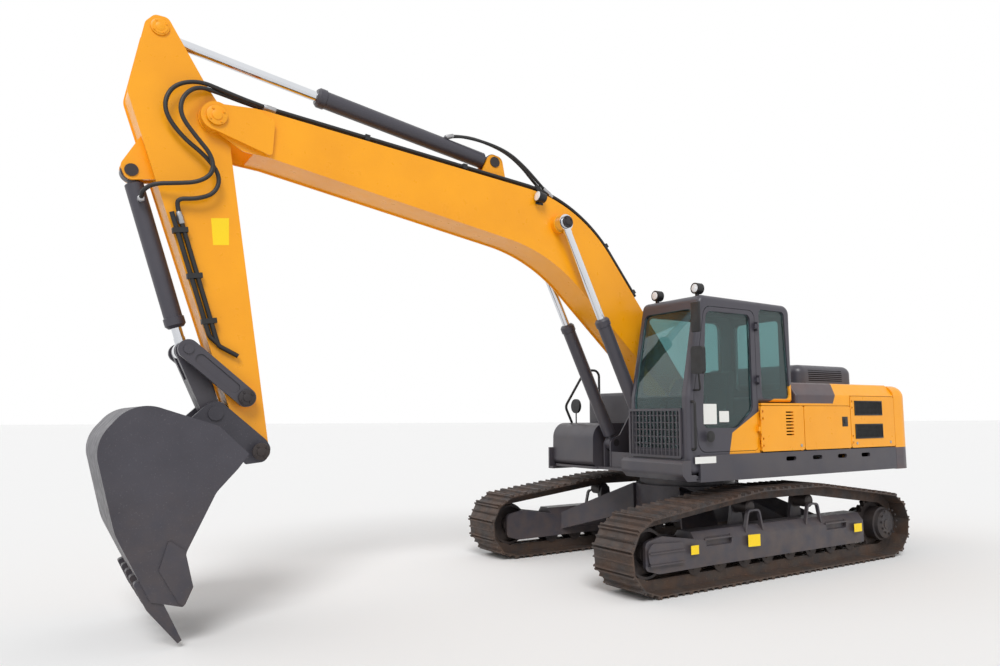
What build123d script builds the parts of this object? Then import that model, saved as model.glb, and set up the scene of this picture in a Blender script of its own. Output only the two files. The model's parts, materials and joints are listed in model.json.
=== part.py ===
from build123d import *
import math
import os

# A crawler excavator of the 26 tonne class, parked with its bucket over the ground.
# Millimetres. X points forward, Y to the left, Z up, with Z = 0 on the ground.
# While a piece is drawn, X = 0 and Y = 0 is the swing axis; the last lines move the whole
# machine so that the origin is at the middle of its base.

# Undercarriage
TRACK_GAUGE = 2590
TUMBLER_DISTANCE = 3842
SHOE_WIDTH = 600
SHOE_PITCH = 204
SHOE_THICKNESS = 12
GROUSER_HEIGHT = 26
GROUSER_TOP = 16
GROUSER_SLOPE = 9
SHOE_GAP = 4
WHEEL_RADIUS = 358
CHAIN_DEPTH = 105
LINK_WIDTH = 56
LINK_GAP = 74
CARRIED_HEIGHT = 932
CARRIER_FRONT_X = 415
CARRIER_REAR_X = -600
SPROCKET_TEETH = 21
BUSHING_RADIUS = 29
BUSHING_DEPTH = 62
WHEEL_RIM = 26
FLANGE_HEIGHT = 18
TRACK_ROLLER_RADIUS = 82
TRACK_ROLLER_COUNT = 8
TRACK_ROLLER_FRONT_X = 1290
TRACK_ROLLER_REAR_X = -1330
CARRIER_RADIUS = 72
ROLLER_SHAFT_RADIUS = 28
FRAME_HALF_WIDTH = 170
FRAME_WALL = 46
FRAME_LOW = 214
FRAME_SHOULDER = 470
FRAME_TOP = 560
FRAME_FRONT_X = 1330
FRAME_REAR_X = -1520
ROLLER_TUNNEL_TOP = 330
FORK_END_X = 2010
FORK_HALF_HEIGHT = 190
FORK_WALL = 40
HOOP_OUT = 112
HOOP_WIDTH = 40
HOOP_BAR = 20
COVER_REAR_X = 1520
COVER_DEPTH = 26
POCKET_FRONT_X = 800
POCKET_LENGTH = 380
FINAL_DRIVE_RADIUS = 205
FINAL_DRIVE_OUT = 236
FINAL_DRIVE_MOTOR_RADIUS = 165
FINAL_DRIVE_IN = 250
SPROCKET_THICKNESS = 58
BODY_LOW = 485
BODY_TOP = 905
HUB_RADIUS = 650
LEG_ROOT_X = 330
LEG_ROOT_WIDTH = 420
LEG_ROOT_LOW = 540
LEG_FOOT_X = 900
LEG_FOOT_WIDTH = 560
LEG_FOOT_LOW = 290
LEG_FOOT_TOP = 500
LEG_ROOT_Y = 420
TOW_EYE_RADIUS = 32
TOW_EYE_WALL = 40

# Slewing ring
RING_OUTER_RADIUS = 680
RING_MIDDLE_RADIUS = 600
RING_INNER_RADIUS = 520
RING_GAP = 0.5
DECK_LOW = 1090
DECK_THICKNESS = 30

# Upper structure
PLATFORM_HALF_WIDTH = 1415
PLATFORM_FRONT_X = 1300
FRONT_BEAM_X = 1440
FRONT_BEAM_TOP = 1285
TAIL_RADIUS = 3040
TAIL_SEAM_X = -2392
COUNTERWEIGHT_LOW = 1050
COUNTERWEIGHT_TOP = 2130
SEAT_FIT = 0.3
SKIRT_TOP = 1340
SKIRT_WALL = 30
PANEL_TOP = 1865
REAR_PANEL_TOP = 1990
COVER_TOP = 2140
COVER_BEVEL = 115
ROOF_THICKNESS = 25
PANEL_WALL = 40
PANEL_GAP = 6
GRILLE_LOW = 1465
GRILLE_HEIGHT = 165
GRILLE_PITCH = 290
DOOR_LINE_X = 214
LOUVRE_REAR_X = -545
MIDDLE_REAR_X = -1449
POST_CUT = 12
GIRDER_INNER = 273
GIRDER_WALL = 22
GIRDER_TOP = 1330
HOOD_FRONT_X = -1210
HOOD_REAR_X = -2380
HOOD_HALF_WIDTH = 850
HOOD_HEIGHT = 270
HOOD_GAP = 0.5
HOOD_WALL = 30
BAY_WALL_Y = 730
SHOULDER_FRONT_X = -420

# Cab
CAB_OUTER_Y = 1385
CAB_INNER_Y = 437
CAB_FLOOR = 1136
CAB_FRONT_X = 1305
CAB_ROOF = 3068
ROOF_FALL = 22
CAB_REAR_X = -405
CAB_STEP_X = 212
CAB_REAR_LOW = 1895
CAB_BROW_X = 1085
CAB_BELT_Z = 1960
CAB_WALL = 62
CAB_DOOR_FRONT_X = 1165
CAB_DOOR_LOW = 1360
CAB_DOOR_TOP = 2945
DOOR_GLASS_LOW = 1617
DOOR_GLASS_REAR_LOW = 1818
DOOR_GLASS_TOP = 2890
PANE_FIT = 0.3
DOOR_GAP = 6
SEAT_X = 400
DOOR_HINGE_X = 222
DOOR_HINGE_OUT = 40
HINGE_RADIUS = 12
HINGE_PIN = 6
HINGE_KNUCKLE = 26
HINGE_GAP = 0.5
HINGE_LEAF = 20
CAB_HINGE_HEIGHTS = (1600, 2150, 2760)
HOOD_HINGE_AHEAD = 14
HOOD_HINGE_UP = 16
HOOD_HINGE_Y = 500
GLASS_THICKNESS = 8
GUARD_LOW = 1300
GUARD_TOP = 1830
GUARD_DEPTH = 24
GUARD_UPRIGHTS = 13
GUARD_LEVELS = 6

# Right side
TANK_OUTER_Y = 1382
TANK_FRONT_X = 520
TANK_REAR_X = -300
TANK_TOP = 2060
TOOLBOX_FRONT_X = 1180
TOOLBOX_TOP = 1660
RAIL_RADIUS = 17
HYDRAULIC_REAR_X = -1050
RIGHT_INNER_Y = 440

# Working front, as lengths and angles in the side view
BOOM_FOOT_X = 330
BOOM_FOOT_Z = 2060
BOOM_LENGTH = 6004
BOOM_ANGLE = 22.97
ARM_LENGTH = 2984
ARM_ANGLE = -99.3
BUCKET_RADIUS = 1566
BUCKET_ANGLE = -65.73
BOOM_HALF_WIDTH = 230
BOOM_SIDE_WALL = 16
BOOM_EDGE = 14
BOOM_FOOT_RADIUS = 160
BOOM_TIP_RADIUS = 130
BOOM_TIP_EAR = 275
BOOM_CROWN_U = 2250
BOOM_CROWN_V = 1404
BOOM_CROWN_RADIUS = 1700
BOOM_NOSE_V = 298
BOOM_BELLY_U = 2379
BOOM_BELLY_V = 657
BOOM_BELLY_RADIUS = 1900
PIPE_RADIUS = 20
PIPE_LIFT = 52
PIPE_PITCH = 62
PIPE_REAR = 1350
PIPE_FRONT = 3560
CLAMP_LENGTH = 50
CLAMP_REAR_PLACES = (620, 1290)
CLAMP_FRONT_PLACES = (560, 1500, 2600)
ARM_PIPE_START = 900
ARM_PIPE_END = 2020
ARM_PIPE_V = 392
ARM_PIPE_SLOPE = 170
BOOM_TIP_INNER = 204
ARM_HALF_WIDTH = 175
ARM_EDGE = 12
ARM_BOSS_RADIUS = 140
ARM_BOSS_HALF_WIDTH = 200
ARM_END_RADIUS = 98
BUCKET_HALF_WIDTH = 650
BUCKET_SHELL = 26
BUCKET_EAR_INNER = 182
BUCKET_EAR_WALL = 36
TOOTH_COUNT = 5
TOOTH_WIDTH = 82

# Pins and lanes of the linkage
FOOT_PIN_RADIUS = 50
TIP_PIN_RADIUS = 45
BUCKET_PIN_RADIUS = 40
LINK_PIN_RADIUS = 40
PIN_FIT = 0.08
SIDE_FIT = 2
BOOM_CYLINDER_Y = 345
BOOM_CYLINDER_BASE_X = 930
BOOM_CYLINDER_BASE_Z = 1420
BOOM_CYLINDER_BARREL = 78
BOOM_CYLINDER_ROD = 46
BOOM_CYLINDER_TUBE = 1610
BOOM_CYLINDER_PIN = 45
BOOM_EYE_RADIUS = 92
BOOM_EYE_HALF_WIDTH = 47
BOOM_ROD_PIN_U = 2405
BOOM_ROD_PIN_V = 1012
ARM_CYLINDER_BASE_U = 3359
ARM_CYLINDER_BASE_V = 1309
ARM_CYLINDER_BARREL = 88
ARM_CYLINDER_ROD = 50
ARM_CYLINDER_TUBE = 2020
ARM_CYLINDER_PIN = 45
ARM_EYE_RADIUS = 98
ARM_EYE_HALF_WIDTH = 55
ARM_TOP_PIN_U = -798
ARM_TOP_PIN_V = 351
BUCKET_CYLINDER_U = 443
BUCKET_CYLINDER_V = 703
BUCKET_CYLINDER_BARREL = 76
BUCKET_CYLINDER_ROD = 43
BUCKET_CYLINDER_TUBE = 1386
BUCKET_CYLINDER_PIN = 40
BUCKET_EYE_RADIUS = 82
BUCKET_EYE_HALF_WIDTH = 50
ROCKER_PIN_U = 2500
ROCKER_PIN_V = 59
ROCKER_LENGTH = 630
ROCKER_ANGLE = 40.0
ROCKER_INNER = 236
ROCKER_WALL = 42
ROCKER_END_RADIUS = 82
LINK_FORK_INNER = 56
LINK_FORK_WALL = 60
LINK_END_RADIUS = 78
LINK_FOOT_HALF_WIDTH = 176
BUCKET_LINK_U = -151
BUCKET_LINK_V = 476
ROD_COLLAR = 4
SHOULDER_GAP = 18
BARREL_WALL = 14
BOOM_ROD_START = 1040
ARM_ROD_START = 1400
BUCKET_ROD_START = 160
BARREL_BOTTOM = 40


def polar(origin, length, degrees):
    """The point at a length and an angle from another, in the side view."""
    angle = math.radians(degrees)
    return (origin[0] + length * math.cos(angle), origin[1] + length * math.sin(angle))


def along(origin, degrees, u, v):
    """The side-view point u along a link and v to its left."""
    return polar(polar(origin, u, degrees), v, degrees + 90)


def distance(start, end):
    """How far two side-view points are apart."""
    return math.hypot(end[0] - start[0], end[1] - start[1])


def heading(start, end):
    """The angle in degrees from one side-view point to another."""
    return math.degrees(math.atan2(end[1] - start[1], end[0] - start[0]))


BOOM_FOOT = (BOOM_FOOT_X, BOOM_FOOT_Z)
BOOM_TIP = polar(BOOM_FOOT, BOOM_LENGTH, BOOM_ANGLE)
BUCKET_HINGE = polar(BOOM_TIP, ARM_LENGTH, ARM_ANGLE)
BOOM_CYLINDER_BASE = (BOOM_CYLINDER_BASE_X, BOOM_CYLINDER_BASE_Z)
BOOM_ROD_PIN = along(BOOM_FOOT, BOOM_ANGLE, BOOM_ROD_PIN_U, BOOM_ROD_PIN_V)
ARM_CYLINDER_BASE = along(BOOM_FOOT, BOOM_ANGLE, ARM_CYLINDER_BASE_U, ARM_CYLINDER_BASE_V)
ARM_TOP_PIN = along(BOOM_TIP, ARM_ANGLE, ARM_TOP_PIN_U, ARM_TOP_PIN_V)
BUCKET_CYLINDER_BASE = along(BOOM_TIP, ARM_ANGLE, BUCKET_CYLINDER_U, BUCKET_CYLINDER_V)
ROCKER_PIN = along(BOOM_TIP, ARM_ANGLE, ROCKER_PIN_U, ROCKER_PIN_V)
LINK_PIN = polar(ROCKER_PIN, ROCKER_LENGTH, ROCKER_ANGLE)
BOOM_BACK = along(BOOM_FOOT, BOOM_ANGLE, -40, BOOM_FOOT_RADIUS - 4)
BOOM_CROWN = along(BOOM_FOOT, BOOM_ANGLE, BOOM_CROWN_U, BOOM_CROWN_V)
BOOM_NOSE = along(BOOM_FOOT, BOOM_ANGLE, BOOM_LENGTH - 300, BOOM_NOSE_V)
BUCKET_LINK_PIN = along(BUCKET_HINGE, BUCKET_ANGLE, BUCKET_LINK_U, BUCKET_LINK_V)
TRACK_Y = TRACK_GAUGE / 2
AXLE_Z = SHOE_THICKNESS + GROUSER_HEIGHT + WHEEL_RADIUS
AXLE_X = TUMBLER_DISTANCE / 2
SOLE_Z = SHOE_THICKNESS + GROUSER_HEIGHT
DECK_TOP = DECK_LOW + DECK_THICKNESS


def slab(outline, y_low, y_high):
    """A plate with a side-view outline, between two planes across the machine."""
    face = Plane.XZ.offset(-y_high) * make_face(outline)
    return extrude(face, y_high - y_low, dir=(0, -1, 0))


def sheet(outline, z_low, z_high):
    """A plate with a plan outline, between two heights."""
    face = Plane.XY.offset(z_low) * make_face(outline)
    return extrude(face, z_high - z_low, dir=(0, 0, 1))


def profile(outline, x_low, x_high):
    """A plate with an outline seen from the front, between two stations."""
    face = Plane.YZ.offset(x_low) * make_face(outline)
    return extrude(face, x_high - x_low, dir=(1, 0, 0))


def loop(points, radius=0):
    """A closed outline, with one fillet radius or a list of them."""
    return FilletPolyline(*points, radius=radius, close=True)


def block(x_low, x_high, y_low, y_high, z_low, z_high):
    """A box between two corners."""
    size = (x_high - x_low, y_high - y_low, z_high - z_low)
    middle = ((x_low + x_high) / 2, (y_low + y_high) / 2, (z_low + z_high) / 2)
    return Pos(*middle) * Box(*size)


def crosswise(centre, radius, y_low, y_high):
    """A round bar across the machine about a side-view point."""
    frame = Plane(origin=(centre[0], y_low, centre[1]), x_dir=(1, 0, 0), z_dir=(0, 1, 0))
    return frame * Cylinder(radius, y_high - y_low, align=(Align.CENTER, Align.CENTER, Align.MIN))


def bar(start, end, radius):
    """A round bar between two points in space."""
    reach = Vector(*end) - Vector(*start)
    frame = Plane(origin=start, z_dir=reach)
    return frame * Cylinder(radius, reach.length, align=(Align.CENTER, Align.CENTER, Align.MIN))


def both_sides(shape):
    """A piece and its mirror image across the middle of the machine."""
    return [shape, mirror(shape, about=Plane.XZ)]


def flat(*groups):
    """One list out of solids and lists of solids."""
    found = []
    for group in groups:
        if isinstance(group, (list, tuple)) and not isinstance(group, Compound):
            found.extend(flat(*group))
        else:
            found.extend(group.solids())
    return found


def together(*groups):
    """One node out of solids that don't touch, or that touch face to face."""
    solids = flat(*groups)
    return solids[0] if len(solids) == 1 else Compound(children=solids)


# Tracks: the loop of shoes runs round the two wheels and over the two carrier rollers

def tangent_angle(centre, point, side):
    """Where a line from a point touches a wheel, as the angle of that radius."""
    towards = heading(centre, point)
    return towards + side * math.degrees(math.acos(WHEEL_RADIUS / distance(centre, point)))


def track_path():
    """The stretches of the loop, each a length with a function that gives its points."""
    front = (AXLE_X, AXLE_Z)
    rear = (-AXLE_X, AXLE_Z)
    high_front = (CARRIER_FRONT_X, CARRIED_HEIGHT)
    high_rear = (CARRIER_REAR_X, CARRIED_HEIGHT)
    leave = tangent_angle(front, high_front, -1)
    land = tangent_angle(rear, high_rear, 1)
    stops = [(-AXLE_X, SOLE_Z), (AXLE_X, SOLE_Z), polar(front, WHEEL_RADIUS, leave)]
    stops += [high_front, high_rear, polar(rear, WHEEL_RADIUS, land)]

    def straight(start, end):
        size = distance(start, end)
        return size, lambda s: polar(start, s, heading(start, end))

    def bend(centre, first, last):
        size = math.radians(last - first) * WHEEL_RADIUS
        return size, lambda s: polar(centre, WHEEL_RADIUS, first + (last - first) * s / size)

    return [straight(stops[0], stops[1]), bend(front, -90, leave), straight(stops[2], stops[3]),
            straight(stops[3], stops[4]), straight(stops[4], stops[5]), bend(rear, land, 270)]


def track_joints():
    """The points where one shoe meets the next, evenly round the loop."""
    path = track_path()
    total = sum(size for size, _ in path)
    count = round(total / SHOE_PITCH)
    joints = []
    for index in range(count):
        s = total * index / count
        for size, place in path:
            if s <= size:
                joints.append(place(s))
                break
            s -= size
    return joints


def shoe_outline(start, end):
    """One shoe seen from the side: a plate with three grouser bars."""
    pitch = distance(start, end)
    angle = heading(start, end)
    tip = -SHOE_THICKNESS - GROUSER_HEIGHT
    low = -SHOE_THICKNESS
    middle = pitch / 2
    inner = SHOE_GAP / 2 + GROUSER_TOP
    half = [(SHOE_GAP / 2, tip), (inner, tip), (inner + GROUSER_SLOPE, low)]
    mid = [(middle - GROUSER_TOP, low), (middle, tip), (middle + GROUSER_TOP, low)]
    shoe = half + mid + [(pitch - u, v) for u, v in reversed(half)] + [(pitch, low)]
    return [along(start, angle, u, v) for u, v in shoe]


def inner_joints(joints, depth):
    """The joints moved towards the inside of the loop."""
    moved = []
    for index, joint in enumerate(joints):
        before = joints[index - 1]
        after = joints[(index + 1) % len(joints)]
        moved.append(along(joint, heading(before, after), 0, depth))
    return moved


def track_rail(joints, y_middle):
    """One rail of the link chain."""
    outer = slab(Polyline(*joints, close=True), y_middle - LINK_WIDTH / 2, y_middle + LINK_WIDTH / 2)
    inner = inner_joints(joints, CHAIN_DEPTH)
    return outer - slab(Polyline(*inner, close=True), y_middle - LINK_WIDTH, y_middle + LINK_WIDTH)


def track():
    """The left track: a loop of shoes with the two rails of its chain."""
    joints = track_joints()
    outside = []
    for index, joint in enumerate(joints):
        outside += shoe_outline(joint, joints[(index + 1) % len(joints)])
    left = TRACK_Y + SHOE_WIDTH / 2
    right = TRACK_Y - SHOE_WIDTH / 2
    shoes = slab(Polyline(*outside, close=True), right, left)
    shoes -= slab(Polyline(*joints, close=True), right - 1, left + 1)
    rail_middle = (LINK_GAP + LINK_WIDTH) / 2
    return shoes + track_rail(joints, TRACK_Y - rail_middle) + track_rail(joints, TRACK_Y + rail_middle)


def rail_distance(centre, inner):
    """How near the rails come to a point inside the loop."""
    reach = []
    for index, start in enumerate(inner):
        end = inner[(index + 1) % len(inner)]
        size = distance(start, end)
        u = ((centre[0] - start[0]) * (end[0] - start[0]) + (centre[1] - start[1]) * (end[1] - start[1]))
        u = min(max(u / size, 0), size)
        reach.append(distance(centre, polar(start, u, heading(start, end))))
    return min(reach)


def wheel_clearance(centre):
    """The radius that just clears the flats of the rails round a wheel."""
    return rail_distance(centre, inner_joints(track_joints(), CHAIN_DEPTH)) - 0.3


def carrier_centre(x):
    """The axis of a top roller that just clears the rails above it."""
    inner = inner_joints(track_joints(), CHAIN_DEPTH)
    z = CARRIED_HEIGHT - CHAIN_DEPTH - CARRIER_RADIUS
    for _ in range(6):
        z -= CARRIER_RADIUS + 0.3 - rail_distance((x, z), inner)
    return (x, z)


def ring(centre, outline):
    """A turned piece about an axis across the machine, from (radius, y) points."""
    face = Plane.XY * make_face(Polyline(*outline, close=True))
    turned = revolve(face, Axis.Y)
    return Pos(centre[0], 0, centre[1]) * turned


def idler():
    """The front wheel of the left track, with the rib that runs between the rails."""
    radius = wheel_clearance((AXLE_X, AXLE_Z))
    half = (LINK_GAP + 2 * LINK_WIDTH) / 2
    rib = LINK_GAP / 2 - 4
    web = 22
    hub = 92
    shape = [(ROLLER_SHAFT_RADIUS * 1.6, -half), (hub, -half), (hub, -web), (radius - WHEEL_RIM, -web),
             (radius - WHEEL_RIM, -half), (radius, -half), (radius, -rib),
             (radius + FLANGE_HEIGHT, -rib + 5)]
    shape += [(r, -y) for r, y in reversed(shape)]
    wheel = ring((AXLE_X, AXLE_Z), [(r, y + TRACK_Y) for r, y in shape])
    shaft_half = FRAME_HALF_WIDTH - 6
    shaft = crosswise((AXLE_X, AXLE_Z), ROLLER_SHAFT_RADIUS * 1.6, TRACK_Y - shaft_half,
                      TRACK_Y + shaft_half)
    return wheel + shaft


def sprocket():
    """The rear wheel of the left track: a toothed plate between the rails, and its final drive."""
    centre = (-AXLE_X, AXLE_Z)
    root = WHEEL_RADIUS - BUSHING_DEPTH
    tip = root + 16
    half = SPROCKET_THICKNESS / 2
    plate = crosswise(centre, tip, TRACK_Y - half, TRACK_Y + half)
    for index in range(SPROCKET_TEETH):
        pocket = polar(centre, root, 360 * index / SPROCKET_TEETH)
        plate -= crosswise(pocket, BUSHING_RADIUS, TRACK_Y - SPROCKET_THICKNESS,
                           TRACK_Y + SPROCKET_THICKNESS)
    rail_clear = wheel_clearance(centre)
    drum = min(FINAL_DRIVE_RADIUS, rail_clear - 6)
    shape = [(0, -FINAL_DRIVE_IN), (FINAL_DRIVE_MOTOR_RADIUS - 20, -FINAL_DRIVE_IN),
             (FINAL_DRIVE_MOTOR_RADIUS, -FINAL_DRIVE_IN + 20), (FINAL_DRIVE_MOTOR_RADIUS, -half),
             (drum, -half), (drum, FINAL_DRIVE_OUT - 70), (drum - 24, FINAL_DRIVE_OUT - 62),
             (drum - 34, FINAL_DRIVE_OUT - 22), (drum - 90, FINAL_DRIVE_OUT - 6), (60, FINAL_DRIVE_OUT - 6),
             (60, FINAL_DRIVE_OUT), (0, FINAL_DRIVE_OUT)]
    return plate + ring(centre, [(r, y + TRACK_Y) for r, y in shape])


def track_roller(x):
    """One bottom roller with its flanges and shaft."""
    centre = (x, SOLE_Z + CHAIN_DEPTH + TRACK_ROLLER_RADIUS + 0.3)
    tread_in = LINK_GAP / 2
    tread_out = tread_in + LINK_WIDTH + 3
    end = FRAME_HALF_WIDTH - FRAME_WALL - 0.3
    big = TRACK_ROLLER_RADIUS + FLANGE_HEIGHT
    shape = [(ROLLER_SHAFT_RADIUS, -end), (46, -end), (46, -tread_out - 12), (big, -tread_out - 12),
             (big, -tread_out - 4), (TRACK_ROLLER_RADIUS, -tread_out), (TRACK_ROLLER_RADIUS, -tread_in - 6),
             (TRACK_ROLLER_RADIUS - 16, -tread_in)]
    shape += [(r, -y) for r, y in reversed(shape)]
    roller = ring(centre, [(r, y + TRACK_Y) for r, y in shape])
    return roller + crosswise(centre, ROLLER_SHAFT_RADIUS, TRACK_Y - end, TRACK_Y + end)


def roller_places():
    """Where the bottom rollers stand along the frame."""
    span = TRACK_ROLLER_FRONT_X - TRACK_ROLLER_REAR_X
    return [TRACK_ROLLER_REAR_X + span * i / (TRACK_ROLLER_COUNT - 1) for i in range(TRACK_ROLLER_COUNT)]


def carrier_roller(x):
    """One top roller, carried at its inner end by a bracket on the frame."""
    centre = carrier_centre(x)
    half = LINK_GAP / 2 + LINK_WIDTH
    shape = [(0, -half - 10), (CARRIER_RADIUS + 14, -half - 10), (CARRIER_RADIUS + 14, -half - 2),
             (CARRIER_RADIUS, -half), (CARRIER_RADIUS, half), (CARRIER_RADIUS - 18, half + 14),
             (0, half + 14)]
    return ring(centre, [(r, y + TRACK_Y) for r, y in shape])


def carrier_bracket(x):
    """The hoop that holds a top roller above the frame."""
    centre = carrier_centre(x)
    inner = TRACK_Y - LINK_GAP / 2 - LINK_WIDTH - 10.3
    outline = loop([(x - 110, FRAME_TOP - 30), (x + 110, FRAME_TOP - 30), (x + 62, centre[1] + 48),
                    (x - 62, centre[1] + 48)], [0, 0, 40, 40])
    return slab(outline, inner - 42, inner)


def roller_hoop(x):
    """The bent guard that stands on the frame's shoulder outside a top roller."""
    low = TRACK_Y + HOOP_OUT
    rest = FRAME_SHOULDER + 30
    top = carrier_centre(x)[1] - 20
    foot = 150
    head = 95
    outer = loop([(x - foot, rest), (x + foot, rest), (x + head, top), (x - head, top)], [0, 0, 55, 55])
    inner = loop([(x - foot + HOOP_BAR, rest - 1), (x + foot - HOOP_BAR, rest - 1),
                  (x + head - HOOP_BAR, top - HOOP_BAR),
                  (x - head + HOOP_BAR, top - HOOP_BAR)], [0, 0, 38, 38])
    return slab(outer, low, low + HOOP_WIDTH) - slab(inner, low - 1, low + HOOP_WIDTH + 1)


def idler_cover():
    """The cover over the idler's slide, a shallow panel with two level ribs."""
    low = TRACK_Y + FRAME_HALF_WIDTH - 2
    panel = slab(loop([(COVER_REAR_X, FRAME_LOW + 60), (FORK_END_X - 40, FRAME_LOW + 80),
                       (FORK_END_X - 12, AXLE_Z + 40),
                       (FORK_END_X - 70, FRAME_SHOULDER + 40), (COVER_REAR_X, FRAME_SHOULDER + 20)],
                      [20, 60, 60, 60, 20]), low, low + COVER_DEPTH)
    for z in (AXLE_Z - 95, AXLE_Z + 20):
        panel += block(COVER_REAR_X, FORK_END_X - 30, low, low + COVER_DEPTH + 16, z - 7, z + 7)
    return panel


def track_frame():
    """The left side frame: a box beam over the bottom rollers, with the idler's fork."""
    w = FRAME_HALF_WIDTH
    roof = 95
    section = [(-w, FRAME_LOW), (-w + FRAME_WALL, FRAME_LOW), (-w + FRAME_WALL, ROLLER_TUNNEL_TOP),
               (w - FRAME_WALL, ROLLER_TUNNEL_TOP), (w - FRAME_WALL, FRAME_LOW), (w, FRAME_LOW),
               (w, FRAME_SHOULDER), (roof, FRAME_TOP), (-roof, FRAME_TOP), (-w, FRAME_SHOULDER)]
    beam = profile(Polyline(*[(y + TRACK_Y, z) for y, z in section], close=True), FRAME_REAR_X,
                   FRAME_FRONT_X)
    for x in (CARRIER_FRONT_X, CARRIER_REAR_X):
        beam += carrier_bracket(x)
        beam += roller_hoop(x)
    low = AXLE_Z - FORK_HALF_HEIGHT
    high = AXLE_Z + FORK_HALF_HEIGHT
    fork = loop([(FRAME_FRONT_X - 180, FRAME_LOW), (AXLE_X - 90, low), (FORK_END_X, low + 50),
                 (FORK_END_X, high - 60), (AXLE_X - 130, high - 20), (FRAME_FRONT_X - 180, FRAME_SHOULDER)],
                [10, 60, 50, 60, 60, 10])
    for side in (-1, 1):
        y_out = TRACK_Y + side * w
        y_in = TRACK_Y + side * (w - FORK_WALL)
        arm = slab(fork, min(y_out, y_in), max(y_out, y_in))
        beam += arm
    beam -= crosswise((AXLE_X, AXLE_Z), ROLLER_SHAFT_RADIUS * 1.6 + 0.3, TRACK_Y - w + 4, TRACK_Y + w - 4)
    beam += idler_cover()
    for x in (POCKET_FRONT_X, -POCKET_FRONT_X - POCKET_LENGTH):
        pocket = loop([(x, FRAME_SHOULDER - 60), (x + POCKET_LENGTH, FRAME_SHOULDER - 60),
                       (x + POCKET_LENGTH, FRAME_TOP + 20), (x, FRAME_TOP + 20)], [20, 20, 0, 0])
        beam -= slab(pocket, TRACK_Y + w - 34, TRACK_Y + w + 5)
        step = loop([(x - 20, FRAME_SHOULDER + 4), (x + POCKET_LENGTH + 20, FRAME_SHOULDER + 4),
                     (x + POCKET_LENGTH + 20, FRAME_SHOULDER + 22), (x - 20, FRAME_SHOULDER + 22)], 0)
        beam += slab(step, TRACK_Y + w - 60, TRACK_Y + w + 8)
    rear = [(FRAME_REAR_X + 40, FRAME_LOW + 20), (FRAME_REAR_X + 40, FRAME_SHOULDER),
            (-AXLE_X + 60, AXLE_Z + 150),
            (-AXLE_X - 150, AXLE_Z + 110), (-AXLE_X - 150, AXLE_Z - 110), (-AXLE_X + 60, AXLE_Z - 150)]
    inner = TRACK_Y - LINK_GAP / 2 - LINK_WIDTH - 12
    horn = slab(loop(rear, [10, 10, 90, 90, 90, 90]), inner - 46, inner)
    horn -= crosswise((-AXLE_X, AXLE_Z), FINAL_DRIVE_MOTOR_RADIUS + 0.3, inner - 60, inner + 10)
    return beam + horn


def leg(x_sign):
    """One leg of the car body, from the hub out to the left side frame."""
    foot_y = TRACK_Y - FRAME_HALF_WIDTH
    root = (LEG_ROOT_Y, LEG_ROOT_X, LEG_ROOT_WIDTH, LEG_ROOT_LOW, BODY_TOP - 5)
    foot = (foot_y, LEG_FOOT_X, LEG_FOOT_WIDTH, LEG_FOOT_LOW, LEG_FOOT_TOP)
    faces = []
    for y, x, width, low, high in (root, foot):
        corners = [(x_sign * (x - width / 2), low), (x_sign * (x + width / 2), low),
                   (x_sign * (x + width / 2), high), (x_sign * (x - width / 2), high)]
        faces.append(Plane.XZ.offset(-y) * make_face(Polyline(*corners, close=True)))
    return loft(faces)


def car_body():
    """The middle of the undercarriage: a hub with four legs, and a tow eye at each end."""
    hub = Pos(0, 0, BODY_LOW) * Cylinder(HUB_RADIUS, BODY_TOP - BODY_LOW,
                                         align=(Align.CENTER, Align.CENTER, Align.MIN))
    body = hub
    for x_sign in (-1, 1):
        for piece in both_sides(leg(x_sign)):
            body += piece
    eye_x = HUB_RADIUS + 90
    eye_z = BODY_LOW + 110
    for sign in (-1, 1):
        root = sign * (HUB_RADIUS - 60)
        outline = loop([(root, -130), (root, 130), (sign * (eye_x + 75), 70), (sign * (eye_x + 75), -70)],
                       [0, 0, 60, 60])
        lug = sheet(outline, eye_z - TOW_EYE_WALL / 2, eye_z + TOW_EYE_WALL / 2)
        body += lug - upright(sign * eye_x, 0, eye_z - TOW_EYE_WALL, eye_z + TOW_EYE_WALL, TOW_EYE_RADIUS)
    seat = Pos(0, 0, BODY_TOP) * Cylinder(RING_MIDDLE_RADIUS - RING_GAP, 20,
                                          align=(Align.CENTER, Align.CENTER, Align.MIN))
    return body + seat


def race(outer, inner, low, high):
    """One race of the slewing ring."""
    align = (Align.CENTER, Align.CENTER, Align.MIN)
    solid = Pos(0, 0, low) * Cylinder(outer, high - low, align=align)
    return solid - Pos(0, 0, low - 1) * Cylinder(inner, high - low + 2, align=align)


# Upper structure

def girder():
    """The left main plate of the revolving frame, with the boom's foot and cylinder lugs."""
    foot = BOOM_FOOT
    base = BOOM_CYLINDER_BASE
    reach = BOOM_EYE_RADIUS
    outline = loop([(TAIL_SEAM_X, DECK_TOP), (base[0] + reach, DECK_TOP), (base[0] + reach, base[1] + 40),
                    (base[0] - 60, base[1] + reach), (foot[0] + 150, foot[1] + 30),
                    (foot[0] + 60, foot[1] + 150),
                    (foot[0] - 120, foot[1] + 130), (foot[0] - 250, foot[1] - 80),
                    (foot[0] - 900, GIRDER_TOP),
                    (TAIL_SEAM_X, GIRDER_TOP)], [0, 0, 90, 60, 60, 80, 90, 120, 300, 0])
    plate = slab(outline, GIRDER_INNER, GIRDER_INNER + GIRDER_WALL)
    plate -= crosswise(foot, FOOT_PIN_RADIUS + PIN_FIT, GIRDER_INNER - 5, GIRDER_INNER + GIRDER_WALL + 5)
    plate -= crosswise(base, BOOM_CYLINDER_PIN + PIN_FIT, GIRDER_INNER - 5, GIRDER_INNER + GIRDER_WALL + 5)
    return plate


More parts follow.
